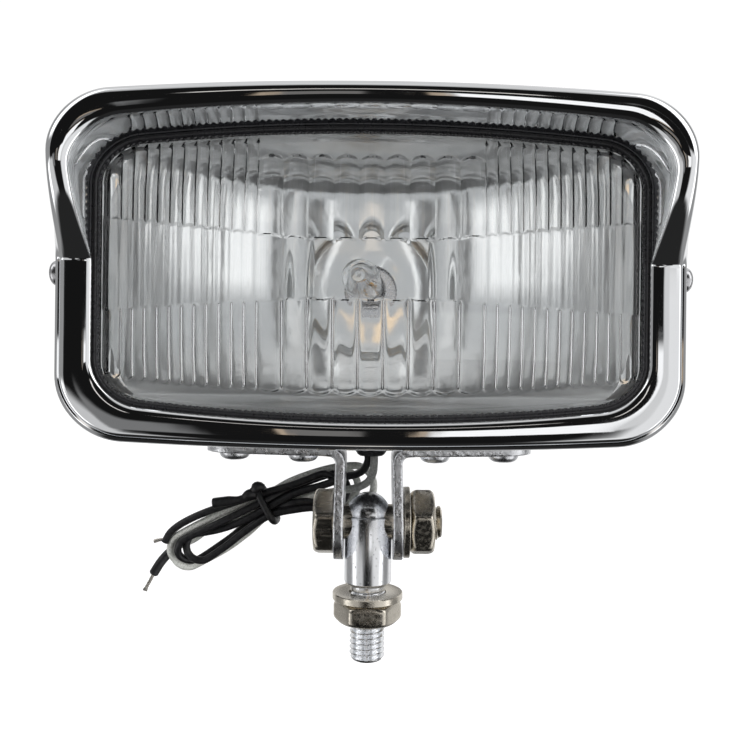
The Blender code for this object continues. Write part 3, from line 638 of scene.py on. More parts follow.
def make_leads():
    black = lead_route(BLACK_START, BLACK_PASSES)
    white = lead_route(WHITE_START, WHITE_PASSES, WHITE_END)
    end = black[-1]
    tip = [end + (0.3, 0, 0.6), end + (-0.9, 0, 0.75), end + (-2.2, -0.1, 0.55), end + (-3.3, -0.2, 0.2)]
    black_tip = stranded_tip("black_lead_strands", tip, ("black_lead_tip",))
    sleeve_route = smooth(SLEEVE, 0.5)
    sleeve_radii = rounded_end(sleeve_route, SLEEVE_RADIUS)
    sleeve = tube("white_lead_boot", sleeve_route, sleeve_radii, "black_pvc", HEAD,
                  ("white_lead_sleeve",))
    tip = [sleeve_route[-2], sleeve_route[-1] + (-0.6, 0, -1.4), sleeve_route[-1] + (-1.7, 0, -3.4),
           sleeve_route[-1] + (-2.5, 0, -5.0)]
    white_tip = stranded_tip("white_lead_strands", tip, ("white_lead_tip",))
    tie = wire_tie()
    lead("black_wire", black, "black_pvc", ("black_lead", "lead_hank"))
    lead("white_wire", white, "white_pvc", ("white_lead",))


# ---------------------------------------------------------------- outlines of the head


SIDE_STEPS = 66
CORNER_STEPS = 18
TOP_STEPS = 40


def outline(half_w, half_h, radius, drop):
    """Points (x, height) round a rectangle with round corners, the same count for every size.
    The long sides are bowed: they lie drop nearer the middle at the ends."""
    side_top = half_h - radius
    heights = np.linspace(0, side_top, SIDE_STEPS, endpoint=False)
    turns = np.linspace(0, math.pi / 2, CORNER_STEPS, endpoint=False)
    x = np.concatenate([
        np.full(SIDE_STEPS, half_w),
        half_w - radius + radius * np.cos(turns),
        np.linspace(half_w - radius, 0, TOP_STEPS, endpoint=False),
    ])
    h = np.concatenate([
        heights,
        half_h - radius + radius * np.sin(turns),
        np.full(TOP_STEPS, half_h),
    ])
    h = h * (1 - drop / half_h * (x / half_w) ** 2)
    x = np.concatenate([x, [0.0], -x[:0:-1]])
    h = np.concatenate([h, [half_h], h[:0:-1]])
    lower_x = np.concatenate([[-half_w], x[1:len(x)][::-1]])
    lower_h = np.concatenate([[0.0], -h[1:len(h)][::-1]])
    return np.stack([np.concatenate([x, lower_x]), np.concatenate([h, lower_h])], 1)


def grown(base, amount, radius, drop):
    return outline(base[0] + amount, base[1] + amount, radius + amount, drop)


def depth_ring(points, y):
    """The outline as a ring of the lamp head at depth y, a number or one for each point."""
    return np.stack([points[:, 0], np.broadcast_to(y, len(points)), LAMP_Z + points[:, 1]], 1)


def visor_share(height):
    """0 on the lower half, rising to 1 where the visor stands fully forward."""
    t = np.clip((height - VISOR_START) / VISOR_RISE, 0.0, 1.0)
    return np.sin(math.pi / 2 * t)


def bezel_ring(low, high):
    """One ring of the bezel. low is (half width, y) in the flat lower band; high is
    (half width, half height, radius, drop, y) in the visor."""
    half_w, low_y = low
    part = (BEZEL_HALF[0] - half_w) / (BEZEL_HALF[0] - OPENING_HALF[0])
    lower = outline(
        half_w,
        BEZEL_HALF[1] + (OPENING_HALF[1] - BEZEL_HALF[1]) * part,
        BEZEL_RADIUS + (OPENING_RADIUS - BEZEL_RADIUS) * part,
        BEZEL_DROP + (OPENING_DROP - BEZEL_DROP) * part,
    )
    *size, high_y = high
    upper = outline(*size)
    share = visor_share(upper[:, 1])[:, None]
    points = lower * (1 - share) + upper * share
    return depth_ring(points, low_y + (high_y - low_y) * share[:, 0])


def make_bezel():
    """The chrome rim and visor: rings from the skirt's rear, over the front and back inside."""
    outer = (*BEZEL_HALF, BEZEL_RADIUS, BEZEL_DROP)
    opening = (*OPENING_HALF, OPENING_RADIUS, OPENING_DROP)
    rings = [
        bezel_ring((79.4, SKIRT_REAR_Y), (79.4, 43.9, 16.4, BEZEL_DROP, SKIRT_REAR_Y)),
        bezel_ring((80.0, SKIRT_REAR_Y - 0.3), (*outer, SKIRT_REAR_Y - 0.3)),
        bezel_ring((80.0, -15.0), (*outer, -15.0)),
        bezel_ring((80.0, -24.0), (*outer, -24.0)),
        bezel_ring((79.9, -25.6), (79.9, 44.4, 16.9, 2.4, -26.0)),
        bezel_ring((79.4, -26.8), (78.8, 44.0, 16.3, 2.5, -30.5)),
        bezel_ring((78.6, -27.3), (77.6, 43.6, 15.7, 2.7, -35.0)),
        bezel_ring((78.2, -27.2), (76.4, 43.1, 15.1, 2.9, -39.5)),
        bezel_ring((77.8, -27.7), (75.6, 42.7, 14.7, 3.1, -42.6)),
        bezel_ring((77.3, -27.95), (75.3, 42.5, 14.5, 3.2, -43.6)),
        bezel_ring((76.8, -28.1), (74.9, 42.2, 14.4, 3.3, -44.3)),
        bezel_ring((75.6, -28.25), (74.3, 41.6, 14.1, 3.4, -44.8)),
        bezel_ring((74.5, -28.35), (73.6, 40.8, 13.8, 3.6, -45.0)),
        bezel_ring((73.2, -28.35), (72.6, 39.9, 13.4, 3.9, -45.0)),
        bezel_ring((72.0, -28.3), (71.6, 38.9, 12.9, 4.2, -44.8)),
        bezel_ring((70.9, -28.1), (70.8, 38.1, 12.5, 4.5, -44.4)),
        bezel_ring((70.3, -27.7), (70.3, 37.6, 12.2, 4.6, -43.9)),
        bezel_ring((70.05, -27.4), (70.05, 37.3, 12.0, 4.7, -43.2)),
        bezel_ring((70.0, -27.0), (*opening, -40.0)),
        bezel_ring((70.0, -27.0), (*opening, -33.0)),
        bezel_ring((70.0, -26.98), (*opening, -27.0)),
        bezel_ring((71.2, -26.97), (71.2, 38.45, 13.2, 4.7, -27.0)),
        bezel_ring((71.2, -27.0), (71.2, 38.45, 13.2, 4.7, -42.5)),
        bezel_ring((74.0, -27.2), (73.4, 40.7, 13.7, 3.7, -43.8)),
        bezel_ring((77.0, -26.9), (74.4, 41.6, 14.0, 3.2, -42.4)),
        bezel_ring((78.9, -25.0), (78.9, 43.4, 15.9, 2.4, -25.0)),
        bezel_ring((78.9, SKIRT_REAR_Y), (78.9, 43.4, 15.9, 2.4, SKIRT_REAR_Y)),
    ]
    points, faces = skin(rings, wrap=True)
    piece("bezel_rim", points, faces, "chrome", HEAD, ("bezel",), sharp=40)


def pan_head(name, origin, axis, radius, height, shank, length, finish, replaces):
    """A pan-head screw with a cross recess, its head on the side that axis points away from."""
    profile = [(shank, length), (shank, 0.0), (radius, 0.0), (radius, -0.25 * height)]
    for i in range(1, 8):
        a = math.radians(90) * i / 8
        profile.append((radius * (0.45 + 0.55 * math.cos(a)), -height * (0.25 + 0.75 * math.sin(a))))
    recess_out = 0.52 * radius
    profile += [(recess_out * (1 - i / 8), -height) for i in range(8)]
    profile.append((0.02, -height))
    rings = turned_rings(profile, 64)
    bar = 0.15 * radius
    for ring in rings[-9:]:
        x = np.abs(ring[:, 0])
        y = np.abs(ring[:, 1])
        narrow = np.minimum(x, y)
        wide = np.maximum(x, y)
        inside = np.clip((bar - narrow) / (0.35 * bar) + 0.5, 0, 1)
        inside *= np.clip((recess_out - wide) / bar, 0, 1)
        ring[:, 2] += inside * height * 0.75 * (1 - 0.4 * wide / recess_out)
    points, faces = skin(rings)
    piece(name, aimed(points, origin, axis, math.radians(20)), faces, finish, HEAD, replaces, 30)


def make_bezel_screws():
    """A small screw in each side of the bezel's skirt."""
    for side, node in ((-1, "bezel_screw_left"), (1, "bezel_screw_right")):
        origin = (side * (BEZEL_HALF[0] + 0.05), SIDE_SCREW_Y, LAMP_Z)
        pan_head(node + "_head", origin, (-side, 0, 0), 3.3, 2.2, M4, 4.4, "steel", (node,))


# ---------------------------------------------------------------- lens, gasket, reflector


# The lens's outline: half width, half height, corner radius and drop at the ends.
LENS_OUT = (71.0, 38.25, 13.0, 4.7)
SIDE_PITCH = 3.15
MIDDLE_PITCH = 6.36
MIDDLE_FLUTES = 9
MIDDLE_HALF = 28.62
FLUTE_STEPS = 12
MIDDLE_STEPS = 18
LENS_ROWS = 231
FLUTE_TOP = 30.0
SIDE_TOP = 40.0
FLUTE_BOTTOM = -30.0
WINDOW_HALF = 14.7
LENS_THICK = 3.4
LENS_EDGE_Y = -25.7
LENS_CROWN = 2.8
BEAD_PITCH = 1.75
GASKET_STEPS = 1560


def inside_depth(x, h):
    """Distance in from the lens's edge, in its plane."""
    half_w, half_h, radius, drop = LENS_OUT
    flat = h / (1 - drop / half_h * np.clip(np.abs(x) / half_w, 0, 1) ** 2)
    qx = np.abs(x) - (half_w - radius)
    qh = np.abs(flat) - (half_h - radius)
    corner = np.hypot(np.maximum(qx, 0), np.maximum(qh, 0))
    return radius - corner - np.minimum(np.maximum(qx, qh), 0)


def ramp(value, low, high):
    """0 below low, 1 above high and a smooth step between them."""
    t = np.clip((value - low) / (high - low), 0, 1)
    return t * t * (3 - 2 * t)


def lens_front(x, h):
    """Depth Y of the lens's smooth front: a flat edge under the gasket, a bevel, a low crown."""
    d = inside_depth(x, h)
    bevel = ramp(d, 2.8, 4.4)
    crown = (1 - (np.abs(x) / LENS_OUT[0]) ** 2.6) * (1 - (np.abs(h) / 38.0) ** 2.6)
    crown = LENS_CROWN * np.maximum(crown, 0) * ramp(d, 3.5, 18.0)
    return LENS_EDGE_Y - 0.6 * ramp(d, 2.2, 2.7) - 0.7 * bevel - crown


def lens_relief(x, h):
    """How far the fluted back of the lens stands out from its plain back."""
    ax = np.abs(x)
    side = ax > MIDDLE_HALF
    local = np.where(side, (ax - MIDDLE_HALF) / SIDE_PITCH, x / MIDDLE_PITCH + 0.5)
    s = 2 * (local - np.floor(local)) - 1
    round_flute = 1 - s**2
    flat_flute = 1 - s**6
    soft_flute = 0.5 + 0.5 * np.cos(math.pi * s)
    reach = np.clip((ax - MIDDLE_HALF) / 34.8, -0.3, 1.2)
    upper = 9.4 + 3.6 * reach + 0.9 * round_flute
    lower = -6.5 - 2.3 * reach - 0.7 * round_flute
    top = np.where(side, SIDE_TOP, FLUTE_TOP) + 1.5 * (round_flute - 1)
    bottom = FLUTE_BOTTOM + 4.2 * (ax / 70.0) ** 2 - 1.2 * (round_flute - 1)
    depth = np.where(side, 0.62, 1.0)
    in_upper = ramp(h, upper - 0.15, upper + 0.15) * (1 - ramp(h, top - 0.2, top + 0.5))
    in_lower = (1 - ramp(h, lower - 0.15, lower + 0.15)) * ramp(h, bottom - 0.5, bottom + 0.2)
    in_middle = ramp(h, lower - 0.15, lower + 0.15) * (1 - ramp(h, upper - 0.15, upper + 0.15))
    window = (1 - ramp(ax, WINDOW_HALF - 0.2, WINDOW_HALF + 0.2)) * in_middle
    relief = in_upper * depth * round_flute
    relief += in_lower * depth * (0.75 * flat_flute)
    relief += in_middle * (1 - window) * depth * 0.55 * soft_flute
    relief += window * 0.25
    return relief


def make_lens():
    """The pressed glass: a smooth front, and a back whose flutes end short of the edge."""
    columns = []
    side_count = int((LENS_OUT[0] - MIDDLE_HALF) / SIDE_PITCH) + 1
    for i in range(side_count):
        for k in range(FLUTE_STEPS):
            columns.append(MIDDLE_HALF + SIDE_PITCH * (i + k / FLUTE_STEPS))
    columns = [c for c in columns if c < LENS_OUT[0] - 0.05] + [LENS_OUT[0]]
    middle = list(np.linspace(-MIDDLE_HALF, MIDDLE_HALF, MIDDLE_FLUTES * MIDDLE_STEPS + 1))[1:-1]
    x = np.array([-c for c in reversed(columns)] + middle + columns)
    half_w, half_h, radius, drop = LENS_OUT
    past = np.clip(np.abs(x) - (half_w - radius), 0, radius)
    top = half_h - radius + np.sqrt(np.maximum(radius**2 - past**2, 0))
    top = top * (1 - drop / half_h * (x / half_w) ** 2)
    rows = np.linspace(-1, 1, LENS_ROWS)
    grid_x, share = np.meshgrid(x, rows)
    grid_h = share * top[None, :]
    front = lens_front(grid_x, grid_h)
    edge = ramp(inside_depth(grid_x, grid_h), 2.6, 3.6)
    back = front + LENS_THICK + lens_relief(grid_x, grid_h) * edge
    rows_n, cols_n = grid_x.shape
    front_points = np.stack([grid_x, front, LAMP_Z + grid_h], 2).reshape(-1, 3)
    back_points = np.stack([grid_x, back, LAMP_Z + grid_h], 2).reshape(-1, 3)
    shift = rows_n * cols_n
    index = np.arange(shift).reshape(rows_n, cols_n)
    a, b = index[:-1, :-1].ravel(), index[:-1, 1:].ravel()
    c, d = index[1:, 1:].ravel(), index[1:, :-1].ravel()
    front_faces = np.stack([a, b, c, d], 1)
    back_faces = np.stack([a, d, c, b], 1) + shift
    border = np.concatenate([index[0, :], index[1:, -1], index[-1, -2::-1], index[-2:0:-1, 0]])
    after = np.roll(border, -1)
    walls = np.stack([after, border, border + shift, after + shift], 1)
    faces = np.concatenate([front_faces, back_faces, walls]).tolist()
    piece("lens_pressing", np.concatenate([front_points, back_points]), faces, "lens", HEAD, ("lens",),
          sharp=50)


def sweep(section, base, radius, drop, count):
    """Rings of a section carried round an outline, for skin(). The section lists
    (offset outwards, y), or functions of the arc length's share that return them."""
    path = evenly(outline(*base, radius, drop), count=count, closed=True)
    ahead = np.roll(path, -1, 0) - np.roll(path, 1, 0)
    ahead /= np.linalg.norm(ahead, axis=1)[:, None]
    out = np.stack([ahead[:, 1], -ahead[:, 0]], 1)
    total = run_length(np.vstack([path, path[:1]]))
    at = np.arange(count) * total / count
    rings = []
    for entry in section:
        offset, y = entry(at, total) if callable(entry) else entry
        points = path + out * np.broadcast_to(offset, count)[:, None]
        rings.append(np.stack([points[:, 0], np.broadcast_to(y, count), LAMP_Z + points[:, 1]], 1))
    return rings


def make_gasket():
    """A black rubber ring; its inner lip carries a row of small beads over the lens's edge."""

    def bead(offset, y, swell):
        def at(run, total):
            beads = round(total / BEAD_PITCH)
            bump = (0.5 + 0.5 * np.cos(2 * math.pi * run * beads / total)) ** 0.7
            return offset - 0.35 * swell * bump, y - 0.4 * swell * bump
        return at

    section = [
        (3.6, -19.8), (3.6, -26.7), (-0.2, -26.72), (-0.3, -27.0), (-0.45, -27.15), (-0.7, -27.15),
        (-0.85, -27.0), (-0.95, -26.95), bead(-1.1, -27.1, 0.5), bead(-1.3, -27.2, 1.0),
        bead(-1.6, -27.05, 1.0), bead(-1.75, -26.75, 0.6), (-1.75, -26.5), (-1.4, -26.4), (1.2, -26.1),
        (1.4, -25.6), (1.4, -19.8),
    ]
    rings = sweep(section, OPENING_HALF, OPENING_RADIUS, OPENING_DROP, GASKET_STEPS)
    points, faces = skin(rings, wrap=True)
    piece("gasket_ring", points, faces, "rubber", HEAD, ("lens_gasket",), sharp=40)


def make_reflector():
    """A paraboloid dish, cut off by flat walls above, below and at the sides, with a collar."""
    count = 240
    vertex_y = BULB_Y - 3.2
    mouth_y = -21.3
    seat_y = -19.0
    focal = 34.0
    angle = np.arange(count) * 2 * math.pi / count
    cos_a, sin_a = np.cos(angle), np.sin(angle)

    def box_radius(half_w, half_h, sharp=14.0):
        return (np.abs(cos_a / half_w) ** sharp + np.abs(sin_a / half_h) ** sharp) ** (-1 / sharp)

    def dish(y):
        bowl = 2 * math.sqrt(focal * max(vertex_y - y, 0.05))
        open_share = (vertex_y - y) / (vertex_y - mouth_y)
        wall = box_radius(61.0 + 8.8 * open_share, 32.0 + 4.6 * open_share)
        blunt = 18.0
        return (bowl**-blunt + wall**-blunt) ** (-1 / blunt)

    def ring(radius, y):
        x = radius * cos_a
        bow = 1 - 0.115 * (x / 70.0) ** 2
        return np.stack([x, np.full(count, y), LAMP_Z + radius * sin_a * bow], 1)

    front = []
    for y in np.linspace(mouth_y, vertex_y - 3.2, 46):
        front.append(ring(dish(y), y))
    collar = 20.5
    front.append(ring(np.full(count, collar), vertex_y - 3.0))
    front.append(ring(np.full(count, collar - 0.6), vertex_y - 2.4))
    front.append(ring(np.full(count, collar - 1.6), vertex_y - 0.4))
    front.append(ring(np.full(count, collar - 2.2), vertex_y))
    front.append(ring(np.full(count, 8.0), vertex_y))
    flange = [
        ring(box_radius(75.6, 40.4), seat_y),
        ring(box_radius(71.1, 37.9), seat_y),
        ring(box_radius(71.1, 37.9), mouth_y + 0.1),
        ring(box_radius(70.6, 37.4), mouth_y),
    ]
    front = flange + front
    scale = 1.0 + 1.0 / 40.0
    back = []
    for r in front:
        moved = r.copy()
        moved[:, 0] *= scale
        moved[:, 2] = LAMP_Z + (moved[:, 2] - LAMP_Z) * scale
        moved[:, 1] += 1.1
        back.append(moved)
    points, faces = skin(front + back[::-1], wrap=True)
    piece("reflector_dish", points, faces, "mirror", HEAD, ("reflector",), sharp=35)


def make_bulb():
    """A small quartz capsule with a tipped nose, its coiled filament on two posts."""
    lean = Matrix.Rotation(math.radians(-5.5), 3, "X") @ Matrix.Rotation(math.radians(-8.0), 3, "Z")
    centre = np.array([0.0, BULB_Y, LAMP_Z])
    outer = [
        (4.9, 0.5), (5.2, -2.0), (5.3, -5.0), (5.3, -20.5), (5.2, -22.6), (4.8, -24.2), (4.2, -25.2),
        (3.5, -25.7), (2.8, -25.8), (2.2, -25.7), (1.8, -25.9), (1.4, -26.5), (0.8, -26.8), (0.1, -26.9),
    ]
    inner = [
        (0.1, -25.6), (1.4, -25.1), (2.6, -24.9), (3.6, -24.2), (4.3, -22.4), (4.5, -20.0),
        (4.5, -5.0), (4.3, -2.0), (4.1, 0.5),
    ]
    points, faces = skin(turned_rings([(r, -y) for r, y in outer + inner], 64), wrap=True)
    shape = np.stack([points[:, 0], -points[:, 2], points[:, 1]], 1)

    def leaned(values):
        return np.asarray(values, float) @ np.array(lean).T + centre

    piece("bulb_capsule", leaned(shape), faces, "bulb", HEAD, ("bulb_glass",), sharp=40)
    parts = []
    for side in (-1, 1):
        foot = side * 1.6
        top = side * 2.4
        post = smooth([(foot, 0.4, 0), (foot, -8.0, 0), (top, -11.0, 0), (top, -13.0, 0)], 0.4)
        parts.append(skin(tube_rings(leaned(post), 0.32, 10)))
    turns = np.linspace(0, 1, 260)
    coil = np.stack([-2.4 + 4.8 * turns, -13.0 + 0.55 * np.cos(turns * 20 * math.pi),
                     0.55 * np.sin(turns * 20 * math.pi)], 1)
    parts.append(skin(tube_rings(leaned(coil), 0.12, 6)))
    joined("bulb_filament_coil", parts, "brass", HEAD, ("bulb_filament",))


# ---------------------------------------------------------------- housing and grommet


def make_housing():
    """The pressed bucket behind the bezel, with a rolled step where the bezel's skirt ends."""
    step_y = SKIRT_REAR_Y + GAP
    nose = grown(BEZEL_HALF, -1.3, BEZEL_RADIUS, BEZEL_DROP)
    body = grown(BEZEL_HALF, 0.2, BEZEL_RADIUS, BEZEL_DROP)
    profile = [
        ((58.0, 28.5, 18.0, 1.0), HOUSING_REAR_Y), ((59.4, 29.6, 18.0, 1.0), HOUSING_REAR_Y - 0.3),
        ((60.8, 30.8, 18.0, 1.1), 40.9), ((63.6, 33.3, 18.0, 1.3), 38.4), ((66.4, 35.8, 18.0, 1.5), 35.6),
        ((69.4, 38.2, 17.8, 1.7), 31.6), ((73.2, 41.0, 17.5, 1.9), 26.4), ((76.2, 43.0, 17.2, 2.1), 21.2),
        ((78.6, 44.1, 17.2, 2.3), 16.2), ((80.0, 44.6, 17.2, 2.4), 12.0),
    ]
    outer = [(outline(*size), y) for size, y in profile]
    edge = grown(BEZEL_HALF, 0.05, BEZEL_RADIUS, BEZEL_DROP)
    roll = grown(BEZEL_HALF, -0.6, BEZEL_RADIUS, BEZEL_DROP)
    outer += [(body, 4.0), (body, -4.0), (body, step_y + 1.4), (edge, step_y + 0.9)]
    outer += [(roll, step_y + 0.45), (nose, step_y + 0.2), (nose, -24.4)]
    inner = []
    for points, y in outer[::-1]:
        shrink = 1 - HOUSING_WALL / points.max(axis=0)
        inner.append((points * shrink, min(y, HOUSING_REAR_Y - HOUSING_WALL)))
    inner[-1] = (inner[-1][0] * 0.97, HOUSING_REAR_Y - HOUSING_WALL)
    rings = [depth_ring(points, y) for points, y in outer + inner]
    points, faces = skin(rings)
    piece("housing_bucket", points, faces, "paint", HEAD, ("rear_housing",), sharp=30)


def make_grommet():
    """A rubber bush, grooved for the housing's wall, with a soft flange below it."""
    profile = [
        (3.9, 45.6), (4.1, 45.3), (4.0, 42.3), (4.9, 42.1), (5.15, 41.8), (5.15, 41.2),
        (4.95, 40.4), (4.5, 39.3), (4.0, 38.5), (3.4, 38.05), (2.2, 37.95), (0.1, 38.0),
    ]
    turned("grommet_seal", profile, "rubber", (*GROMMET_AT, 0.0), (0, 0, 1), HEAD, ("grommet",),
           sides=64)


# ---------------------------------------------------------------- mount


def housing_bottom(x):
    """Height of the housing's underside at x."""
    half = BEZEL_HALF[1] + 0.2
    return LAMP_Z - half * (1 - BEZEL_DROP / half * (x / BEZEL_HALF[0]) ** 2)


def bracket_stations():
    """(x, z, half width, normal) along the strap's middle line, from the ear's end to the foot's."""
    ear_x = EAR_INNER_X + STRAP / 2
    foot_z = STRAP_TOP_Z - STRAP / 2
    stations = []
    for a in np.radians(np.linspace(4, 90, 24)):
        z = PIVOT_Z - EAR_HALF_WIDTH * math.cos(a)
        stations.append((ear_x, z, EAR_HALF_WIDTH * math.sin(a), (1, 0)))
    for t in np.linspace(0, 1, 34)[1:]:
        z = PIVOT_Z + (foot_z - STRAP_BEND - PIVOT_Z) * t
        stations.append((ear_x + STRAP_LEAN * t, z, EAR_HALF_WIDTH, (1, 0)))
    for a in np.radians(np.linspace(0, 90, 12)[1:]):
        x = ear_x + STRAP_LEAN + STRAP_BEND * (1 - math.cos(a))
        z = foot_z - STRAP_BEND + STRAP_BEND * math.sin(a)
        stations.append((x, z, EAR_HALF_WIDTH, (math.cos(a), -math.sin(a))))
    straight = STRAP_END_X - STRAP_END_RADIUS
    for x in np.linspace(13.0, straight, 46):
        z = housing_bottom(x) - GAP - STRAP / 2
        stations.append((x, z, EAR_HALF_WIDTH, (0, -1)))
    for a in np.radians(np.linspace(0, 86, 18)[1:]):
        x = straight + STRAP_END_RADIUS * math.sin(a)
        z = housing_bottom(x) - GAP - STRAP / 2
        stations.append((x, z, EAR_HALF_WIDTH - STRAP_END_RADIUS * (1 - math.cos(a)), (0, -1)))
    return stations


def strap_section(half):
    """(y, out) points round the strap's section: rounded edges, finer steps on the flat sides."""
    edge = min(STRAP_EDGE, half * 0.6)
    thick = STRAP / 2
    points = []
    for sy, so, start in ((1, 1, 90), (1, -1, 0), (-1, -1, -90), (-1, 1, -180)):
        for i in range(4):
            a = math.radians(start - 30 * i)
            y = sy * (half - edge) + edge * math.cos(a)
            points.append((y, so * (thick - edge) + edge * math.sin(a)))
        if sy == so:
            for t in (0.25, 0.5, 0.75):
                points.append((sy * half, so * (thick - edge) * (1 - 2 * t)))
        else:
            for t in np.linspace(0, 1, 12)[1:-1]:
                points.append((sy * (half - edge) * (1 - 2 * t), so * thick))
    return points


def make_bracket(node, side):
    """A strap bent to an L. Its sheared edges are left rough, as if beaten."""
    rings = []
    for x, z, half, (nx, nz) in bracket_stations():
        ring = []
        for y, out in strap_section(half):
            px = x + nx * out
            pz = z + nz * out
            rough = max(0.0, abs(y) - half + ROUGH_EDGE) / ROUGH_EDGE
            dent = noise.noise(Vector((px * 0.9 + 11, y * 0.9, pz * 0.9 + 5 * side)))
            dent += 0.6 * noise.noise(Vector((px * 2.3, y * 2.3 + 7, pz * 2.3)))
            push = DENT * dent * min(rough, 1.0)
            lift = 0.6 * push
            ring.append((side * (px + nx * lift), y + math.copysign(push, y), pz + nz * lift))
        rings.append(ring)
    points, faces = skin(rings)
    piece(node + "_strap", points, faces, "zinc", HEAD, (node,), sharp=45)


def make_bracket_screws():
    """Two pan-head screws up through each strap."""
    places = {
        "outer_left": -SCREW_X[1],
        "inner_left": -SCREW_X[0],
        "inner_right": SCREW_X[0],
        "outer_right": SCREW_X[1],
    }
    for name, x in places.items():
        seat = housing_bottom(x) - GAP - STRAP - 0.05
        node = "bracket_screw_" + name
        pan_head(node + "_head", (x, 0.0, seat), (0, 0, 1), 4.3, 2.6, M4, 8.4, "zinc", (node,))


def soft_hex(angle, apothem, power=26.0):
    """Radius of a hexagon with slightly rounded corners, a corner at angle 0."""
    total = np.zeros_like(angle)
    for k in range(6):
        total += np.maximum(np.cos(angle - math.pi / 6 - k * math.pi / 3), 0.0) ** power
    return apothem * total ** (-1 / power)


# Steps up a hexagon's chamfer, and how much wider it gets for each of them.
CHAMFER_RISE = (0.0, 0.12, 0.3, 0.5, 0.75, 1.05, 1.4, 1.9)
CHAMFER_SLOPE = 1.9


def hex_profile(apothem, height, bore):
    """(radius, height) rings of a nut, whose large radii are cut to the hexagon by hex_shape."""
    corner = apothem * 2 / math.sqrt(3)
    rise = [e for e in CHAMFER_RISE if e < height / 2]
    low = [(apothem - 0.45 + e * CHAMFER_SLOPE, e) for e in rise]
    high = [(apothem - 0.45 + e * CHAMFER_SLOPE, height - e) for e in rise[::-1]]
    middle = [(corner + 1, height * t) for t in (0.4, 0.5, 0.6)]
    face = bore + 0.6
    return [(bore, 0.7), (face, 0.0), *low, *middle, *high, (face, height), (bore, height - 0.7)]


def hex_shape(apothem, first_round):
    """Rings wider than first_round follow the hexagon where it is smaller than their circle."""
    def shape(angle, radius, height):
        if radius <= first_round:
            return np.full_like(angle, radius)
        hexagon = soft_hex(angle, apothem)
        blunt = 20.0
        return (hexagon ** -blunt + radius ** -blunt) ** (-1 / blunt) * 2 ** (0.4 / blunt)
    return shape


def thread_shape(low, high):
    """A helical M10 thread between two heights; it fades out at both ends."""
    cut_depth = 0.61 * M10_PITCH

    def shape(angle, base, height):
        if base > M10:
            return np.full_like(angle, base)
        turn = (height / M10_PITCH - angle / (2 * math.pi)) % 1.0
        ridge = np.clip(np.abs(2 * turn - 1) * 1.25 - 0.12, 0, 1)
        fade = min(ramp(height, low - 0.2, low + 0.8), 1 - ramp(height, high - 0.8, high + 0.2))
        return np.minimum(M10 - cut_depth * fade * (1 - ridge), base)
    return shape


def thread_profile(low, high, step=0.125):
    """Rings close enough together for a thread to show."""
    count = int(round((high - low) / step))
    return [(M10, low + (high - low) * i / count) for i in range(count + 1)]


def make_pivot():
    """The tilt joint's hex bolt, washer and nut, along X."""
    ear_x = EAR_INNER_X + STRAP + GAP
    centre = (0.0, 0.0, PIVOT_Z)
    apothem = M10_FLATS / 2
    head = [(0.1, -5.4), (6.2, -5.4), (6.6, -5.35)]
    head += [(apothem - 0.35 + e * 1.9, -5.4 + e) for e in (0.0, 0.12, 0.3, 0.5, 0.8, 1.2)]
    head += [(apothem * 1.3, -5.4 * t) for t in (0.7, 0.5, 0.25, 0.06, 0.0)] + [(M10, 0.0)]
    head = [(r, h - ear_x) for r, h in head]
    tip = [(M10, 19.8), (M10 - 0.35, 20.3), (M10 - 0.9, 20.75), (0.1, 20.8)]
    profile = head + [(M10, -ear_x + 0.1), (M10, 4.0)] + thread_profile(6.0, 19.6) + tip
    hexagon = hex_shape(apothem, 6.7)
    thread = thread_shape(7.0, 22.0)

    def shape(angle, radius, height):
        return hexagon(angle, radius, height) if height < -ear_x + 0.01 else thread(angle, radius, height)

    turned("pivot_hex_bolt", profile, "brushed", centre, (1, 0, 0), HEAD, ("pivot_bolt",),
           shape=shape, turn=PIVOT_TURN, sides=120)
    washer = [(M10 + 0.3, 0.1), (M10 + 0.4, 0.0), (9.85, 0.0), (10.0, 0.15), (10.0, 1.5), (9.85, 1.7),
              (M10 + 0.5, 1.7), (M10 + 0.3, 1.6)]
    turned("pivot_flat_washer", washer, "nickel", (ear_x, 0, PIVOT_Z), (1, 0, 0), HEAD, ("pivot_washer",),
           wrap=True)
    turned("pivot_hex_nut", hex_profile(apothem, 6.6, M10 + 0.1), "nickel", (ear_x + 1.7 + GAP, 0, PIVOT_Z),
           (1, 0, 0), HEAD, ("pivot_nut",), wrap=True, sides=144,
           shape=hex_shape(apothem, M10 + 0.9), turn=PIVOT_TURN)


def make_swivel():
    """The stud: M10 thread, plain neck, polished barrel and a dome between the ears."""
    low = STUD_END_Z
    profile = [(0.1, low), (M10 - 1.0, low), (M10 - 0.8, low + 0.1), (M10 - 0.3, low + 0.7)]
    profile += thread_profile(low + 0.9, SHOULDER_Z - 1.2)
    profile += [
        (M10, SHOULDER_Z - 0.5), (M10, SHOULDER_Z), (5.8, SHOULDER_Z), (6.1, SHOULDER_Z + 0.15),
        (6.45, SHOULDER_Z + 0.5), (BARREL_RADIUS - 0.06, SHOULDER_Z + 0.85),
        (BARREL_RADIUS, SHOULDER_Z + 1.1), (BARREL_RADIUS, 12.0), (BARREL_RADIUS, 21.3),
        (BARREL_RADIUS - 0.08, 21.55), (6.4, 21.85), (DOME_RADIUS, DOME_Z),
    ]
    for i in range(1, 15):
        a = math.radians(88) * i / 14
        profile.append((DOME_RADIUS * math.cos(a), DOME_Z + DOME_RADIUS * math.sin(a)))
    turned("swivel_barrel", profile, "barrel", (0, 0, 0), (0, 0, 1), "swivel", ("swivel_stud",),
           sides=128, shape=thread_shape(low, SHOULDER_Z - 1.5))


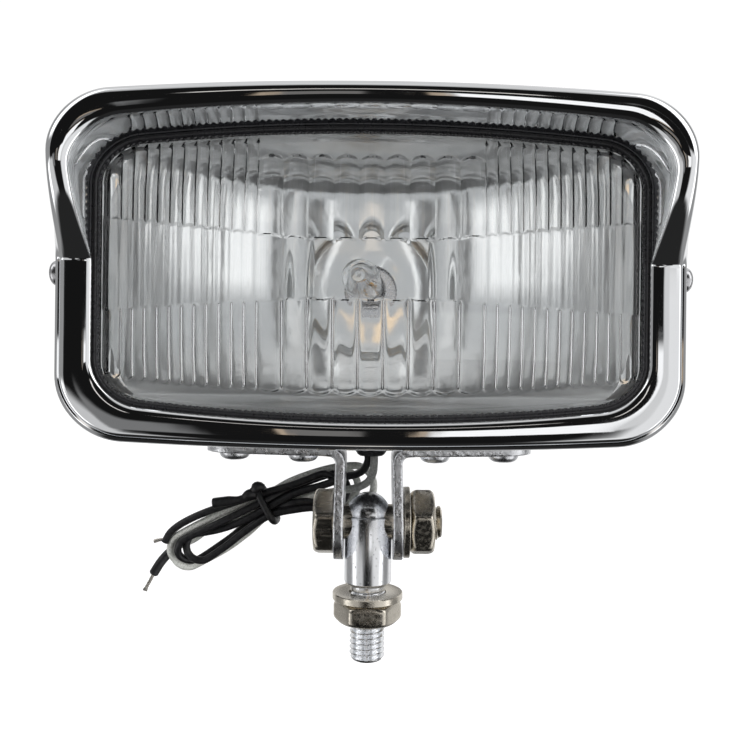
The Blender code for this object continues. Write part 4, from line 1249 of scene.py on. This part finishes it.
def make_stud_fasteners():
    """The washer and nut that clamp the stud to the vehicle."""
    washer = [(M10 + 0.3, -1.9), (M10 + 0.5, -2.0), (9.8, -2.0), (10.0, -1.8), (10.0, -0.25), (9.8, 0.0),
              (M10 + 0.5, 0.0), (M10 + 0.3, -0.1)]
    turned("stud_flat_washer", washer, "nickel", (0, 0, 0), (0, 0, 1), "vehicle_clamp", ("stud_washer",),
           wrap=True, sides=128)
    turned("stud_hex_nut", hex_profile(M10_FLATS / 2, 6.0, M10 + 0.1), "nickel",
           (0, 0, STUD_NUT_Z), (0, 0, 1), "vehicle_clamp", ("stud_nut",), wrap=True, sides=144,
           shape=hex_shape(M10_FLATS / 2, M10 + 0.9))


# ---------------------------------------------------------------- CAD nodes that show as they are


def dress_cad_nodes():
    """Finishes for the CAD nodes that are shown as they are, all inside the lamp."""
    finishes = {
        "bulb_holder": "steel", "bulb_base": "steel", "bulb_insulator": "ceramic", "bulb_terminal": "brass",
        "bulb_clip": "steel", "lead_connector": "black_pvc", "ground_terminal": "copper",
        "ground_screw": "steel", "black_lead_inner": "black_pvc", "white_lead_inner": "white_pvc",
    }
    finishes.update({name: "steel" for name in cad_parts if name.startswith("bracket_nut_")})
    for name, finish in finishes.items():
        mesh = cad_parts[name].data
        mesh.materials.clear()
        mesh.materials.append(FINISHES[finish])


# ---------------------------------------------------------------- studio


class Sky:
    """The studio as the metal sees it: soft patches of light and dark, placed by azimuth from the
    front (positive to the right) and elevation, in degrees. The camera itself sees plain white."""

    def __init__(self):
        world = bpy.data.worlds.new("studio")
        world.use_nodes = True
        bpy.context.scene.world = world
        self.tree = world.node_tree
        self.tree.nodes.clear()
        place = self.tree.nodes.new("ShaderNodeTexCoord")
        split = self.tree.nodes.new("ShaderNodeSeparateXYZ")
        self.tree.links.new(place.outputs["Generated"], split.inputs[0])
        back = self.calc("MULTIPLY", split.outputs["Y"], -1.0)
        self.azimuth = self.degrees(self.calc("ARCTAN2", split.outputs["X"], back))
        self.elevation = self.degrees(self.calc("ARCSINE", split.outputs["Z"], 0.0))
        self.light = None

    def calc(self, operation, first, second):
        """A math node on two sockets or numbers."""
        node = self.tree.nodes.new("ShaderNodeMath")
        node.operation = operation
        for socket, value in zip(node.inputs, (first, second)):
            if isinstance(value, bpy.types.NodeSocket):
                self.tree.links.new(value, socket)
            else:
                socket.default_value = value
        return node.outputs[0]

    def degrees(self, value):
        return self.calc("MULTIPLY", value, 180 / math.pi)

    def step(self, value, edge, soft):
        """0 below the edge, 1 above it, softened on both sides."""
        node = self.tree.nodes.new("ShaderNodeMapRange")
        node.interpolation_type = "SMOOTHSTEP"
        self.tree.links.new(value, node.inputs["Value"])
        node.inputs["From Min"].default_value = edge - soft
        node.inputs["From Max"].default_value = edge + soft
        return node.outputs["Result"]

    def within(self, value, low, high, soft):
        """1 between low and high, 0 outside them."""
        rise = self.step(value, low, soft)
        fall = self.step(value, high, soft)
        return self.calc("SUBTRACT", rise, fall)

    def patch(self, azimuth, elevation, colour, soft=1.0):
        """Lays a patch over what is there: azimuth and elevation are (low, high)."""
        amount = self.within(self.elevation, *elevation, soft)
        if azimuth:
            amount = self.calc("MULTIPLY", amount, self.within(self.azimuth, *azimuth, soft))
        node = self.tree.nodes.new("ShaderNodeMix")
        node.data_type = "RGBA"
        self.tree.links.new(amount, node.inputs["Factor"])
        if self.light is None:
            node.inputs[6].default_value = (0.5, 0.5, 0.5, 1.0)
        else:
            self.tree.links.new(self.light, node.inputs[6])
        node.inputs[7].default_value = (*colour, 1.0)
        self.light = node.outputs[2]

    def bar(self, side, azimuth, elevation, colour, soft):
        """A patch on one side of the front: side is 1 on the right and -1 on the left."""
        self.patch(sorted(side * a for a in azimuth), elevation, colour, soft)

    def take(self):
        """The patches laid so far; the next patch starts a new sky."""
        light = self.light
        self.light = None
        return light

    def finish(self, outside, inside):
        """Rays that have crossed the lens and the reflector see the softer inside sky."""
        ray = self.tree.nodes.new("ShaderNodeLightPath")
        deep = self.tree.nodes.new("ShaderNodeMix")
        deep.data_type = "RGBA"
        self.tree.links.new(self.step(ray.outputs["Ray Depth"], 2.5, 0.4), deep.inputs["Factor"])
        self.tree.links.new(outside, deep.inputs[6])
        self.tree.links.new(inside, deep.inputs[7])
        lamp = self.tree.nodes.new("ShaderNodeBackground")
        self.tree.links.new(deep.outputs[2], lamp.inputs["Color"])
        lamp.inputs["Strength"].default_value = 1.0
        white = self.tree.nodes.new("ShaderNodeBackground")
        white.inputs["Color"].default_value = (1, 1, 1, 1)
        white.inputs["Strength"].default_value = 1.05
        pick = self.tree.nodes.new("ShaderNodeMixShader")
        self.tree.links.new(ray.outputs["Is Camera Ray"], pick.inputs[0])
        self.tree.links.new(lamp.outputs[0], pick.inputs[1])
        self.tree.links.new(white.outputs[0], pick.inputs[2])
        out = self.tree.nodes.new("ShaderNodeOutputWorld")
        self.tree.links.new(pick.outputs[0], out.inputs["Surface"])


def grey(value, warm=0.0):
    """A grey, warmer where warm is above 0 and cooler where it is below."""
    return (value * (1 + warm), value, value * (1 - warm))


def make_sky():
    """What the chrome, the reflector and the glass mirror: one sky outside, one inside."""
    sky = Sky()
    sky.patch(None, (-91, 91), grey(0.66, -0.02), 1.0)
    sky.patch(None, (28, 91), grey(0.80), 6.0)
    for side in (-1, 1):
        sky.bar(side, (15, 19), (-30, 40), grey(1.5), 1.0)
        sky.bar(side, (21, 27), (-30, 40), grey(0.10), 1.0)
        sky.bar(side, (31, 35), (-34, 28), grey(0.95), 1.0)
        sky.bar(side, (36, 39), (-34, 28), grey(0.10), 1.0)
        sky.bar(side, (42, 66), (-24, 7), grey(1.65), 5.0)
        sky.bar(side, (64, 92), (-40, -2), grey(1.9), 6.0)
        sky.bar(side, (56, 59), (-30, 40), grey(0.25), 1.0)
        sky.bar(side, (70, 73), (-30, 40), grey(0.2), 1.0)
    sky.patch((-3, 2), (-30, -6), grey(1.0, 0.08), 1.0)
    sky.patch((-7, -1), (9, 27), grey(1.1, 0.32), 1.2)
    sky.patch((2, 6), (9, 27), grey(1.0, 0.28), 1.2)
    sky.patch(None, (-91, -37), grey(0.03), 2.5)
    inside = sky.take()
    sky.patch(None, (-91, 91), grey(0.30), 1.0)
    sky.patch(None, (50, 91), grey(0.70), 12.0)
    sky.patch((-80, -46), (-42, 64), grey(1.7), 5.0)
    sky.patch((-120, -46), (-7, 24), grey(0.30), 4.0)
    sky.patch((40, 78), (-42, 64), grey(1.8), 5.0)
    sky.patch((-180, -130), (-30, 40), grey(0.8), 10.0)
    sky.patch((120, 165), (-30, 60), grey(0.9), 10.0)
    sky.patch((-46, 40), (-60, 46), grey(0.008), 4.0)
    sky.patch((-60, -23), (-52, -9), grey(0.62), 4.0)
    sky.patch((22, 62), (-52, 10), grey(0.85), 5.0)
    sky.patch(None, (-91, -52), grey(0.02), 6.0)
    sky.patch((-13, 12), (14, 17), grey(0.9, 0.05), 1.0)
    sky.patch((-26, -14), (-22, -3), grey(0.20), 2.0)
    sky.patch((-6.3, -0.6), (-14, 2), grey(0.16, 0.04), 0.6)
    sky.patch((-7.0, -5.8), (-14, 2), grey(0.35, 0.25), 0.4)
    sky.patch((3.4, 4.6), (-14, 2), grey(0.35, 0.25), 0.4)
    sky.patch((4.8, 19.0), (-14, 2), grey(1.1), 0.6)
    sky.patch((18.0, 26.0), (-12, 12), grey(0.7), 2.0)
    sky.finish(sky.take(), inside)


# Where both lamps aim, in metres.
LAMP_TARGET = (0.0, 0.0, 0.06)


def make_lamp(name, place, size, power):
    """A soft lamp for the matt pieces, which gloss and glass don't show."""
    data = bpy.data.lights.new(name, "AREA")
    data.size = size
    data.energy = power
    lamp = bpy.data.objects.new(name, data)
    bpy.context.scene.collection.objects.link(lamp)
    aim = Vector(LAMP_TARGET) - Vector(place)
    lamp.location = place
    lamp.rotation_euler = aim.to_track_quat("-Z", "Y").to_euler()
    lamp.visible_camera = False
    lamp.visible_glossy = False
    lamp.visible_transmission = False


def make_floor():
    """A wide pale floor, well below the lamp, which hangs by its mount."""
    size = 6.0
    low = -0.30
    mesh = bpy.data.meshes.new("floor")
    corners = [(-size, -size, low), (size, -size, low), (size, size, low), (-size, size, low)]
    mesh.from_pydata(corners, [], [(0, 1, 2, 3)])
    f = Finish("pale_floor", (0.9, 0.9, 0.9), 0.0, 0.8, Emission_Color=(1, 1, 1, 1), Emission_Strength=0.45)
    f.colour(f.blend(f.noise(60.0, 3.0), (0.90, 0.90, 0.90), (0.93, 0.93, 0.93)))
    mesh.materials.append(f.material)
    floor = bpy.data.objects.new("floor", mesh)
    bpy.context.scene.collection.objects.link(floor)
    floor.visible_glossy = False
    floor.visible_transmission = False
    floor.visible_diffuse = False


make_camera()
make_leads()
make_bezel()
make_bezel_screws()
make_lens()
make_gasket()
make_reflector()
make_bulb()
make_housing()
make_grommet()
make_bracket("bracket_left", -1)
make_bracket("bracket_right", 1)
make_bracket_screws()
make_pivot()
make_swivel()
make_stud_fasteners()
dress_cad_nodes()
make_sky()
make_lamp("lamp_left", (-0.7, -0.7, 0.5), 0.6, 5.0)
make_lamp("lamp_right", (0.8, -0.5, 0.1), 0.6, 4.0)
make_floor()
bpy.context.scene.view_settings.view_transform = "Standard"
